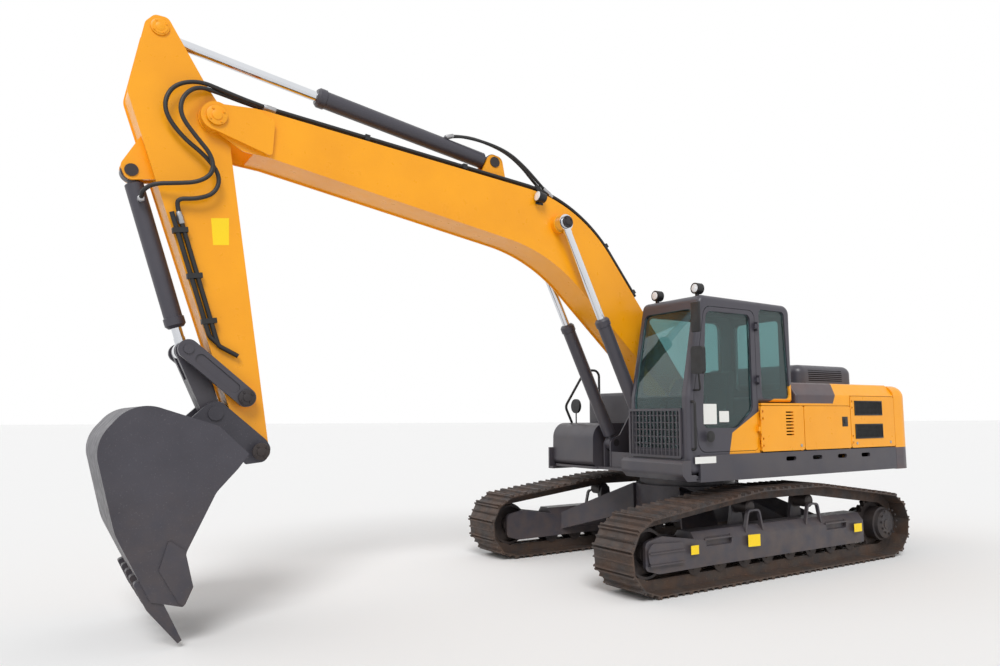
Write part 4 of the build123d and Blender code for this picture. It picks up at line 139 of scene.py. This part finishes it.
def makeFinish(name, look):
    material = bpy.data.materials.new(name)
    material.use_nodes = True
    tree = material.node_tree
    shader = next(node for node in tree.nodes if node.type == "BSDF_PRINCIPLED")
    place = tree.nodes.new("ShaderNodeTexCoord").outputs["Object"]
    split = tree.nodes.new("ShaderNodeSeparateXYZ")
    tree.links.new(place, split.inputs[0])
    xyz = split.outputs
    tint = look["colour"]
    for area in look.get("areas", ()):     # other colours on parts of the same plate
        mask = 1.0
        for plane in area["inside"]:
            mask = calc(tree, "MULTIPLY", mask, halfSpace(tree, xyz, plane, area.get("soft", 0.001)))
        tint = blendColour(tree, mask, tint, area["colour"])
    patches = spread(tree, cloud(tree, place, look.get("patchScale", 1.4)), 0.35, 0.7)
    tint = blendColour(tree, calc(tree, "MULTIPLY", patches, look.get("patch", 0.15)), tint,
                       look.get("shade", (0.02, 0.015, 0.01, 1)))
    specks = spread(tree, cloud(tree, place, look.get("speckScale", 90), 6), 0.62, 0.72)
    tint = blendColour(tree, calc(tree, "MULTIPLY", specks, look.get("speck", 0.12)), tint,
                       look.get("speckColour", (0.02, 0.018, 0.016, 1)))
    if "dust" in look:                     # dirt that thins out with height
        dust = look["dust"]
        height = spread(tree, xyz[2], dust["high"], dust["low"])
        broken = spread(tree, cloud(tree, place, dust.get("scale", 7), 8), 0.3, 0.7)
        amount = calc(tree, "MULTIPLY", calc(tree, "MULTIPLY", height, broken), dust["amount"])
        tint = blendColour(tree, amount, tint, dust["colour"])
    feed(tree, shader.inputs["Base Color"], tint)
    low, high = look["rough"]
    feed(tree, shader.inputs["Roughness"],
         spread(tree, cloud(tree, place, look.get("roughScale", 12), 5), 0.3, 0.7, low, high))
    shader.inputs["Metallic"].default_value = look.get("metal", 0)
    if "through" in look:
        shader.inputs["Transmission Weight"].default_value = look["through"]
        shader.inputs["IOR"].default_value = 1.45
    bump = tree.nodes.new("ShaderNodeBump")
    bump.inputs["Strength"].default_value = look.get("bump", 0.06)
    bump.inputs["Distance"].default_value = look.get("bumpDepth", 0.002)
    feed(tree, bump.inputs["Height"],
         cloud(tree, place, look.get("grain", 260), 3, look.get("stretch", (1, 1, 1))))
    tree.links.new(bump.outputs[0], shader.inputs["Normal"])
    material.diffuse_color = look["colour"]
    return material


tones = {"yellow": rgb(248, 166, 16), "slate": rgb(66, 64, 72),
         "earth": rgb(120, 98, 76), "rust": rgb(104, 70, 44), "black": rgb(20, 20, 22)}
earthDust = {"colour": tones["earth"], "low": 0.0, "high": 1.0, "amount": 0.22}
upperDust = {"colour": rgb(170, 150, 118), "low": 1.0, "high": 2.6, "amount": 0.07, "scale": 3}
looks = {
    "yellowPaint": {"colour": tones["yellow"], "shade": rgb(190, 104, 6), "patch": 0.2, "rough": (0.26, 0.4),
                    "speck": 0.06, "bump": 0.03, "dust": upperDust},
    "slatePaint": {"colour": tones["slate"], "shade": rgb(40, 38, 46), "patch": 0.4, "rough": (0.32, 0.5),
                   "bump": 0.05, "dust": {"colour": tones["earth"], "low": 0.2, "high": 1.2, "amount": 0.3}},
    "slateUpper": {"colour": tones["slate"], "shade": rgb(46, 44, 54), "patch": 0.35, "rough": (0.3, 0.46),
                   "bump": 0.04, "dust": upperDust},
    "doorPaint": {"colour": tones["slate"], "shade": rgb(46, 44, 54), "patch": 0.12, "rough": (0.3, 0.44),
                  "bump": 0.03,
                  "areas": [{"colour": tones["yellow"], "soft": 0.002,
                             "inside": [(-1, 0, -0.235, -1.0165), (-0.533, 0, -1, -1.9099),
                                        (0, 1, 0, 1.36)]}]},
    "coverPaint": {"colour": tones["yellow"], "shade": rgb(190, 104, 6), "patch": 0.12, "rough": (0.28, 0.42),
                   "bump": 0.03, "areas": [{"colour": tones["slate"], "inside": [(1, 0, 0.5, -0.16)]}]},
    "weightPaint": {"colour": tones["yellow"], "shade": rgb(190, 104, 6), "patch": 0.14, "rough": (0.3, 0.45),
                    "bump": 0.1, "grain": 60, "bumpDepth": 0.004,
                    "areas": [{"colour": tones["slate"], "inside": [(0, 0, -1, -1.33)]}]},
    "bucketPaint": {"colour": rgb(62, 60, 68), "shade": rgb(36, 34, 42), "patch": 0.5, "patchScale": 2.2,
                    "rough": (0.36, 0.56), "speck": 0.3, "speckColour": rgb(112, 108, 112), "bump": 0.09,
                    "dust": {"colour": tones["earth"], "low": 0.1, "high": 1.4, "amount": 0.22}},
    "trackSteel": {"colour": rgb(66, 62, 62), "shade": tones["rust"], "patch": 0.4, "patchScale": 5,
                   "rough": (0.5, 0.78), "metal": 0.35, "speck": 0.5, "speckScale": 60,
                   "speckColour": rgb(140, 112, 86), "bump": 0.3, "grain": 90, "dust": earthDust},
    "castSteel": {"colour": rgb(48, 46, 50), "shade": rgb(70, 54, 42), "patch": 0.4, "rough": (0.4, 0.65),
                  "metal": 0.3, "speck": 0.25, "bump": 0.2, "grain": 110, "dust": earthDust},
    "chromeRod": {"colour": rgb(222, 224, 228), "shade": rgb(150, 154, 160), "patch": 0.12,
                  "rough": (0.08, 0.16),
                  "metal": 1, "speck": 0, "bump": 0.01, "stretch": (1, 8, 1)},
    "brightSteel": {"colour": rgb(176, 176, 178), "shade": rgb(110, 108, 108), "patch": 0.3,
                    "rough": (0.25, 0.42),
                    "metal": 0.9, "bump": 0.05},
    "tintedGlass": {"colour": rgb(150, 186, 186), "patch": 0.05, "rough": (0.0, 0.01), "speck": 0, "bump": 0,
                    "through": 0.96},
    "blackTrim": {"colour": tones["black"], "patch": 0.1, "rough": (0.42, 0.6), "bump": 0.08},
    "hoseRubber": {"colour": rgb(26, 26, 28), "shade": rgb(58, 56, 54), "patch": 0.2, "rough": (0.45, 0.62),
                   "bump": 0.22, "grain": 420},
    "seatCloth": {"colour": rgb(44, 46, 50), "shade": rgb(24, 25, 28), "patch": 0.4, "rough": (0.8, 0.95),
                  "bump": 0.35, "grain": 700},
    "lampGlass": {"colour": rgb(232, 236, 240), "patch": 0.05, "rough": (0.08, 0.16), "bump": 0.25,
                  "grain": 120},
    "paleLabel": {"colour": rgb(232, 232, 228), "patch": 0.08, "rough": (0.4, 0.5), "bump": 0.01},
    "yellowLabel": {"colour": rgb(252, 214, 14), "patch": 0.06, "rough": (0.35, 0.5), "bump": 0.01},
}
finishes = {name: makeFinish(name, look) for name, look in looks.items()}
print("finishes made,", len(finishes))

bySlot = {"yellow_paint": "yellowPaint", "grey_paint": "slateUpper", "chrome_rod": "chromeRod",
          "track_steel": "trackSteel", "cast_steel": "castSteel", "tinted_glass": "tintedGlass",
          "black_trim": "blackTrim"}
byNode = {"cab_door": "doorPaint", "cab_shell": "doorPaint", "deck_cover": "coverPaint",
          "counterweight": "weightPaint", "bucket": "bucketPaint", "bucket_teeth": "bucketPaint",
          "track_frame_left": "slatePaint", "track_frame_right": "slatePaint", "car_body": "slatePaint",
          "fuel_tank": "slateUpper", "hydraulic_tank": "slateUpper", "tool_box": "slateUpper",
          "seat": "seatCloth"}
for part in frame["record"]["subparts"]:
    finish = finishes[byNode.get(part["node"], bySlot[part["material_slot"]])]
    mesh = nodes[part["node"]].data
    mesh.materials.clear()
    mesh.materials.append(finish)
print("nodes painted")


# small helpers for new pieces
def finishPiece(name, builder, look, body, smooth=35):
    mesh = bpy.data.meshes.new(name)
    bmesh.ops.remove_doubles(builder, verts=builder.verts, dist=0.00001)
    bmesh.ops.recalc_face_normals(builder, faces=builder.faces)
    builder.to_mesh(mesh)
    builder.free()
    mesh.shade_smooth()
    mesh.set_sharp_from_angle(angle=math.radians(smooth))
    mesh.materials.append(finishes[look])
    piece = bpy.data.objects.new(name, mesh)
    bpy.context.scene.collection.objects.link(piece)
    if body:
        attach(piece, body)
    return piece


def turnTo(direction):
    return Vector(direction).normalized().to_track_quat("Z", "Y").to_matrix().to_4x4()


def addDrum(builder, start, end, radius, far=None, sides=24, edge=0.0):
    start, end = Vector(start), Vector(end)
    placed = Matrix.Translation((start + end) / 2) @ turnTo(end - start)
    made = bmesh.ops.create_cone(builder, cap_ends=True, segments=sides, radius1=radius,
                                 radius2=radius if far is None else far, depth=(end - start).length,
                                 matrix=placed)
    if edge:
        rims = {rim for vert in made["verts"] for rim in vert.link_edges
                if len(rim.link_faces) == 2 and max(len(face.verts) for face in rim.link_faces) > 4}
        bmesh.ops.bevel(builder, geom=list(rims), offset=edge, affect="EDGES", segments=2, profile=0.5,
                        material=-1)


def addBlock(builder, low, high, edge=0.0, turned=None):
    low, high = Vector(low), Vector(high)
    made = bmesh.ops.create_cube(builder, size=1)
    bmesh.ops.scale(builder, vec=high - low, verts=made["verts"])
    if turned:
        bmesh.ops.rotate(builder, cent=(0, 0, 0), matrix=turned, verts=made["verts"])
    bmesh.ops.translate(builder, vec=(low + high) / 2, verts=made["verts"])
    if edge:
        rims = {rim for vert in made["verts"] for rim in vert.link_edges}
        bmesh.ops.bevel(builder, geom=list(rims), offset=edge, affect="EDGES", segments=2, profile=0.5,
                        material=-1)


def addBolt(builder, place, direction, radius=0.014, height=0.012):
    place, direction = Vector(place), Vector(direction).normalized()
    addDrum(builder, place, place + direction * height * 0.3, radius * 1.35, sides=14)
    addDrum(builder, place + direction * height * 0.3, place + direction * height * 1.3, radius, sides=6)


def boltCircle(builder, place, direction, spread, count, radius=0.014, height=0.012, first=0.0):
    place = Vector(place)
    placed = turnTo(direction)
    for index in range(count):
        angle = first + math.tau * index / count
        offset = placed @ Vector((math.cos(angle) * spread, math.sin(angle) * spread, 0))
        addBolt(builder, place + offset, direction, radius, height)


def curveLine(points, name):
    # one open NURBS spline through the route's corners
    data = bpy.data.curves.new(name, "CURVE")
    data.dimensions = "3D"
    data.resolution_u = 10
    spline = data.splines.new("NURBS")
    spline.points.add(len(points) - 1)
    for point, place in zip(spline.points, points):
        point.co = (*at(*place), 1)
    spline.order_u = 3
    spline.use_endpoint_u = True
    return data


def tubeMesh(points, radius, name, sides=4):
    # the tube as a mesh, and the points that it follows
    data = curveLine(points, name)
    holder = bpy.data.objects.new(name + "Line", data)
    bpy.context.scene.collection.objects.link(holder)
    bpy.context.view_layer.update()
    line = bpy.data.meshes.new_from_object(holder.evaluated_get(bpy.context.evaluated_depsgraph_get()))
    path = [vert.co.copy() for vert in line.vertices]
    data.bevel_depth = radius
    data.bevel_resolution = sides
    data.use_fill_caps = True
    bpy.context.view_layer.update()
    mesh = bpy.data.meshes.new_from_object(holder.evaluated_get(bpy.context.evaluated_depsgraph_get()))
    mesh.name = name
    bpy.data.objects.remove(holder)
    return mesh, path


def lengthOf(path):
    return sum((second - first).length for first, second in zip(path, path[1:]))


def makeHose(name, hose):
    mesh, path = tubeMesh(hose["points"], hose["diameter"] / 2, name)
    mesh.materials.append(finishes["hoseRubber"])
    mesh.shade_smooth()
    piece = bpy.data.objects.new(name, mesh)
    bpy.context.scene.collection.objects.link(piece)
    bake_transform(piece)
    print(name, "is", round(lengthOf(path), 3), "m long")


# hoses across the boom's tip, to the arm's pipe and the bucket's cylinder
hoses = {
    "armHoseOuter": {
        "diameter": 0.038, "length": 2.386, "between": ("boom", "arm"),
        "from": (5.75, 0, 4.60), "to": (6.05, 0, 3.70),
        "points": [(5.392, 0.18, 4.606), (5.56, 0.185, 4.63), (5.78, 0.21, 4.665), (6.02, 0.25, 4.70),
                   (6.23, 0.26, 4.60), (6.29, 0.26, 4.38), (6.14, 0.26, 4.17), (5.92, 0.26, 4.02),
                   (5.80, 0.262, 3.86), (5.84, 0.262, 3.70), (5.99, 0.26, 3.63), (6.13, 0.24, 3.62),
                   (6.13, 0.216, 3.55), (6.101, 0.2153, 3.456)]},
    "armHoseInner": {
        "diameter": 0.038, "length": 2.286, "between": ("boom", "arm"),
        "from": (5.75, 0, 4.60), "to": (6.05, 0, 3.70),
        "points": [(5.392, 0.118, 4.606), (5.60, 0.13, 4.63), (5.84, 0.18, 4.655), (6.03, 0.29, 4.63),
                   (6.15, 0.32, 4.50), (6.16, 0.32, 4.33), (6.02, 0.32, 4.16), (5.89, 0.32, 4.02),
                   (5.87, 0.32, 3.87), (5.98, 0.31, 3.77), (6.15, 0.28, 3.74), (6.32, 0.24, 3.72),
                   (6.40, 0.20, 3.66), (6.401, 0.14, 3.604), (6.401, 0.07, 3.604)]},
}
for name, hose in hoses.items():
    makeHose(name, hose)
print("hoses laid")

# steel ends where the hoses meet the pipes
collars = bmesh.new()
for y in (0.18, 0.118):
    addDrum(collars, at(5.33, y, 4.5998), at(5.44, y, 4.611), 0.026, sides=18, edge=0.003)
    addDrum(collars, at(5.37, y, 4.6035), at(5.41, y, 4.608), 0.031, sides=6)
finishPiece("hoseCollarsBoom", collars, "brightSteel", "boom")
collars = bmesh.new()
for start, end in (((6.085, 0.2153, 3.407), (6.118, 0.2153, 3.508)),
                   ((6.401, 0.075, 3.604), (6.401, 0.15, 3.604))):
    addDrum(collars, at(*start), at(*end), 0.026, sides=18, edge=0.003)
    middle = (Vector(start) + Vector(end)) / 2
    ahead = (Vector(end) - Vector(start)).normalized() * 0.02
    addDrum(collars, at(*(middle - ahead)), at(*(middle + ahead)), 0.031, sides=6)
finishPiece("hoseCollarsArm", collars, "brightSteel", "arm")

# caps and bolts on the pins
pinCaps = [
    {"name": "boomTipCaps", "body": "boom", "place": (5.858, 4.403), "face": 0.289, "radius": 0.088,
     "look": "yellowPaint", "slot": "yellow_paint"},
    {"name": "boomRodCaps", "body": "boom", "place": (2.149, 3.93), "face": 0.412, "radius": 0.07,
     "look": "castSteel", "slot": "cast_steel"},
    {"name": "bucketHingeCaps", "body": "arm", "place": (5.376, 1.458), "face": 0.291, "radius": 0.075,
     "look": "castSteel", "slot": "cast_steel"},
    {"name": "rockerCaps", "body": "arm", "place": (5.512, 1.926), "face": 0.294, "radius": 0.07,
     "look": "castSteel", "slot": "cast_steel"},
    {"name": "armTopCaps", "body": "arm", "place": (6.333, 5.134), "face": 0.178, "radius": 0.075,
     "look": "yellowPaint", "slot": "yellow_paint"},
]
for cap in pinCaps:
    builder = bmesh.new()
    for side in (-1, 1):
        x, z = cap["place"]
        face = at(x, side * cap["face"], z)
        addDrum(builder, face, face + Vector((0, side * 0.012, 0)), cap["radius"], sides=40, edge=0.003)
        addDrum(builder, face, face + Vector((0, side * 0.02, 0)), cap["radius"] * 0.5, sides=32, edge=0.003)
        boltCircle(builder, face + Vector((0, side * 0.012, 0)), (0, side, 0), cap["radius"] * 0.75, 4,
                   0.009, 0.008, 0.6)
    finishPiece(cap["name"], builder, cap["look"], cap["body"])
print("pins capped")

# hoses from the boom's pipes to the arm's cylinder, with their fittings
cylinderHoses = {"diameter": 0.034, "lanes": (0.18, 0.118), "lengths": (1.437, 1.445), "rise": 0.02}
for index, lane in enumerate(cylinderHoses["lanes"]):
    outward = cylinderHoses["rise"] * index
    makeHose("cylinderHose" + "AB"[index], {
        "diameter": cylinderHoses["diameter"], "length": cylinderHoses["lengths"][index],
        "between": ("boom", "arm_barrel"),
        "from": (2.5, 0, 4.5), "to": (3.1, 0, 4.7),
        "points": [(2.22, lane, 4.277), (2.30, lane, 4.33), (2.42, lane, 4.43), (2.58, lane, 4.56 + outward),
                   (2.78, lane, 4.68 + outward), (3.00, lane * 0.8, 4.75 + outward),
                   (3.22, lane * 0.5, 4.79 + outward), (3.40, lane * 0.35, 4.79),
                   (3.50, lane * 0.35, 4.758)]})
builder = bmesh.new()
for lane in cylinderHoses["lanes"]:
    addDrum(builder, at(2.20, lane, 4.262), at(2.32, lane, 4.345), 0.024, sides=18, edge=0.003)
    addDrum(builder, at(2.24, lane, 4.29), at(2.27, lane, 4.311), 0.029, sides=6)
finishPiece("cylinderHoseCollars", builder, "brightSteel", "boom")
builder = bmesh.new()
for lane in cylinderHoses["lanes"]:
    addDrum(builder, at(3.42, lane * 0.35, 4.785), at(3.51, lane * 0.35, 4.752), 0.023, sides=18, edge=0.003)
finishPiece("cylinderHoseEnds", builder, "brightSteel", "arm_barrel")

# plain plates, labels and papers, all blank
labels = [
    {"name": "armLabel", "body": "arm", "look": "yellowLabel", "side": 0.1765,
     "corners": [(5.849, 3.50), (5.70, 3.521), (5.69, 3.277), (5.822, 3.261)]},
    {"name": "skirtPlate", "body": "upper", "look": "paleLabel", "side": 1.4165,
     "corners": [(0.946, 1.25), (1.256, 1.25), (1.256, 1.32), (0.946, 1.32)]},
    {"name": "frameLabelMiddle", "body": "undercarriage", "look": "yellowLabel", "side": 1.5065,
     "corners": [(0.40, 0.35), (0.59, 0.355), (0.59, 0.48), (0.40, 0.475)]},
    {"name": "frameLabelFront", "body": "undercarriage", "look": "yellowLabel", "side": 1.5065,
     "corners": [(1.327, 0.356), (1.436, 0.356), (1.436, 0.445), (1.327, 0.445)]},
    {"name": "frameLabelRear", "body": "undercarriage", "look": "yellowLabel", "side": 1.5065,
     "corners": [(-1.43, 0.35), (-1.278, 0.35), (-1.278, 0.446), (-1.43, 0.446)]},
    {"name": "doorPapers", "body": "cab_door", "look": "paleLabel", "side": 1.362,
     "corners": [(0.86, 1.66), (1.06, 1.66), (1.06, 1.877), (0.86, 1.877)]},
    {"name": "doorPaperSmall", "body": "cab_door", "look": "paleLabel", "side": 1.362,
     "corners": [(0.67, 1.68), (0.82, 1.68), (0.82, 1.80), (0.67, 1.80)]},
]
for label in labels:
    builder = bmesh.new()
    ring = [builder.verts.new(at(x, label["side"], z)) for x, z in label["corners"]]
    face = builder.faces.new(ring)
    raised = bmesh.ops.extrude_face_region(builder, geom=[face])
    bmesh.ops.translate(builder, vec=(0, -0.002, 0),
                        verts=[item for item in raised["geom"] if isinstance(item, bmesh.types.BMVert)])
    finishPiece(label["name"], builder, label["look"], label["body"])

# work light on the boom's side
builder = bmesh.new()
addBlock(builder, at(2.36, 0.228, 4.13), at(2.46, 0.236, 4.25), edge=0.003)
addBlock(builder, at(2.39, 0.232, 4.16), at(2.43, 0.30, 4.20), edge=0.004)
addDrum(builder, at(2.38, 0.30, 4.19), at(2.48, 0.30, 4.205), 0.052, far=0.062, sides=28, edge=0.004)
boltCircle(builder, at(2.41, 0.236, 4.19), (0, 1, 0), 0.042, 4, 0.008, 0.007, math.pi / 4)
finishPiece("boomLamp", builder, "blackTrim", "boom")
builder = bmesh.new()
addDrum(builder, at(2.479, 0.30, 4.2049), at(2.486, 0.30, 4.206), 0.054, sides=28, edge=0.002)
finishPiece("boomLampLens", builder, "lampGlass", "boom")

# lenses of the cab's lamps
builder = bmesh.new()
for y in (0.585, 1.237):
    addDrum(builder, at(1.012, y, 3.157), at(1.019, y, 3.157), 0.046, sides=28, edge=0.002)
finishPiece("cabLampLenses", builder, "lampGlass", "upper")

# dark wire mesh over the two grilles of the rear door, laid on a thin black sheet of painted shade that fills
# the grilles' openings
grille = {"rear": -2.11, "front": -1.54, "rows": ((1.463, 1.63), (1.752, 1.92)), "wires": 34,
          "rowWires": 10, "wire": 0.0022, "rim": 0.008, "back": 1.4142, "plate": 1.4172, "face": 1.423}
builder = bmesh.new()
rear, front, rim = grille["rear"], grille["front"], grille["rim"]
for low, high in grille["rows"]:
    # thin black sheet on the door's face: painted shade standing in for the dark behind each grille
    addBlock(builder, at(rear, grille["back"], low), at(front, grille["plate"], high), edge=0.001)
    step = (front - rear) / grille["wires"]
    for index in range(1, grille["wires"]):
        x = rear + step * index
        addDrum(builder, at(x, 1.4185, low), at(x, 1.4185, high), grille["wire"], sides=6)
    for index in range(1, grille["rowWires"]):
        z = low + (high - low) * index / grille["rowWires"]
        addDrum(builder, at(rear, 1.4205, z), at(front, 1.4205, z), grille["wire"], sides=6)
    for z in (low, high):
        addBlock(builder, at(rear - rim, grille["back"], z - rim), at(front + rim, grille["face"], z + rim),
                 edge=0.003)
    for x in (rear, front):
        addBlock(builder, at(x - rim, grille["back"], low), at(x + rim, grille["face"], high), edge=0.003)
finishPiece("grilleWiresOnPaintedShade", builder, "blackTrim", "grille_door")

# lock plate and latches of the side panels
builder = bmesh.new()
addBlock(builder, at(-1.385, 1.4142, 1.61), at(-1.275, 1.419, 1.73), edge=0.002)
addDrum(builder, at(-1.33, 1.418, 1.67), at(-1.33, 1.424, 1.67), 0.026, sides=28, edge=0.002)
finishPiece("lockPlate", builder, "blackTrim", "upper")
builder = bmesh.new()
for x in (-2.28, -1.56):
    addDrum(builder, at(x, 1.4142, 1.40), at(x, 1.42, 1.40), 0.018, sides=24, edge=0.002)
finishPiece("grilleLatches", builder, "brightSteel", "grille_door")
builder = bmesh.new()
addDrum(builder, at(-0.48, 1.4142, 1.40), at(-0.48, 1.42, 1.40), 0.018, sides=24, edge=0.002)
finishPiece("louvreLatch", builder, "brightSteel", "louvre_door")

# bolts round the final drives' covers
builder = bmesh.new()
for side in (-1, 1):
    boltCircle(builder, at(-1.955, side * 1.531, 0.427), (0, side, 0), 0.15, 12, 0.011, 0.01)
finishPiece("driveBolts", builder, "castSteel", "undercarriage")

# mirror high at the cab's front corner
builder = bmesh.new()
addDrum(builder, at(1.20, 1.40, 2.93), at(1.33, 1.56, 2.93), 0.011, sides=14)
addDrum(builder, at(1.33, 1.56, 2.93), at(1.33, 1.56, 2.74), 0.011, sides=14)
addBlock(builder, at(1.315, 1.49, 2.62), at(1.345, 1.615, 2.94), edge=0.012)
finishPiece("frontMirrorShell", builder, "blackTrim", "upper")

# handle recess low on the door
builder = bmesh.new()
addDrum(builder, at(1.04, 1.436, 1.53), at(1.04, 1.441, 1.53), 0.062, sides=40, edge=0.002)
addDrum(builder, at(1.06, 1.440, 1.53), at(1.06, 1.447, 1.53), 0.026, sides=24, edge=0.002)
finishPiece("doorHandle", builder, "blackTrim", "cab_door")

# levers and pedals in front of the seat
builder = bmesh.new()
addBlock(builder, at(1.02, 0.62, 1.21), at(1.14, 1.16, 1.24), edge=0.01)
for y in (0.78, 0.92):
    addDrum(builder, at(1.08, y, 1.235), at(1.02, y, 1.72), 0.011, sides=14)
    addDrum(builder, at(1.02, y, 1.72), at(1.015, y, 1.80), 0.02, far=0.015, sides=18, edge=0.003)
    addBlock(builder, at(1.05, y - 0.045, 1.24), at(1.2, y + 0.045, 1.262), edge=0.006)
finishPiece("cabLevers", builder, "blackTrim", "upper")
print("details laid")

# studio
studio = {"floorSize": 900, "floor": rgb(242, 242, 242), "surround": 0.5}
builder = bmesh.new()
bmesh.ops.create_grid(builder, x_segments=1, y_segments=1, size=studio["floorSize"])
floorMesh = bpy.data.meshes.new("studioFloor")
builder.to_mesh(floorMesh)
builder.free()
floor = bpy.data.objects.new("studioFloor", floorMesh)
floor.location = (0, 0, -0.001)
bpy.context.scene.collection.objects.link(floor)
floorPaint = bpy.data.materials.new("studioFloor")
floorPaint.use_nodes = True
tree = floorPaint.node_tree
shader = next(node for node in tree.nodes if node.type == "BSDF_PRINCIPLED")
shader.inputs["Base Color"].default_value = studio["floor"]
shader.inputs["Roughness"].default_value = 0.9
floorMesh.materials.append(floorPaint)

world = bpy.data.worlds.new("studioWorld")
bpy.context.scene.world = world
world.use_nodes = True
tree = world.node_tree
background = next(node for node in tree.nodes if node.type == "BACKGROUND")
rays = tree.nodes.new("ShaderNodeLightPath")
seen = calc(tree, "MAXIMUM", rays.outputs["Is Camera Ray"],
            calc(tree, "MAXIMUM", rays.outputs["Is Glossy Ray"], rays.outputs["Is Transmission Ray"]))
background.inputs["Color"].default_value = (1, 1, 1, 1)
feed(tree, background.inputs["Strength"], spread(tree, seen, 0, 1, studio["surround"], 1.0))

suns = {"keyLamp": {"from": (5, 8, 9), "soft": 25, "strength": 1.9},
        "fillLamp": {"from": (8, -6, 7), "soft": 60, "strength": 0.45}}
for name, sun in suns.items():
    data = bpy.data.lights.new(name, "SUN")
    data.energy = sun["strength"]
    data.angle = math.radians(sun["soft"])
    light = bpy.data.objects.new(name, data)
    light.rotation_euler = Vector(sun["from"]).to_track_quat("Z", "Y").to_euler()
    bpy.context.scene.collection.objects.link(light)
bpy.context.scene.view_settings.view_transform = "Standard"
print("studio lit")
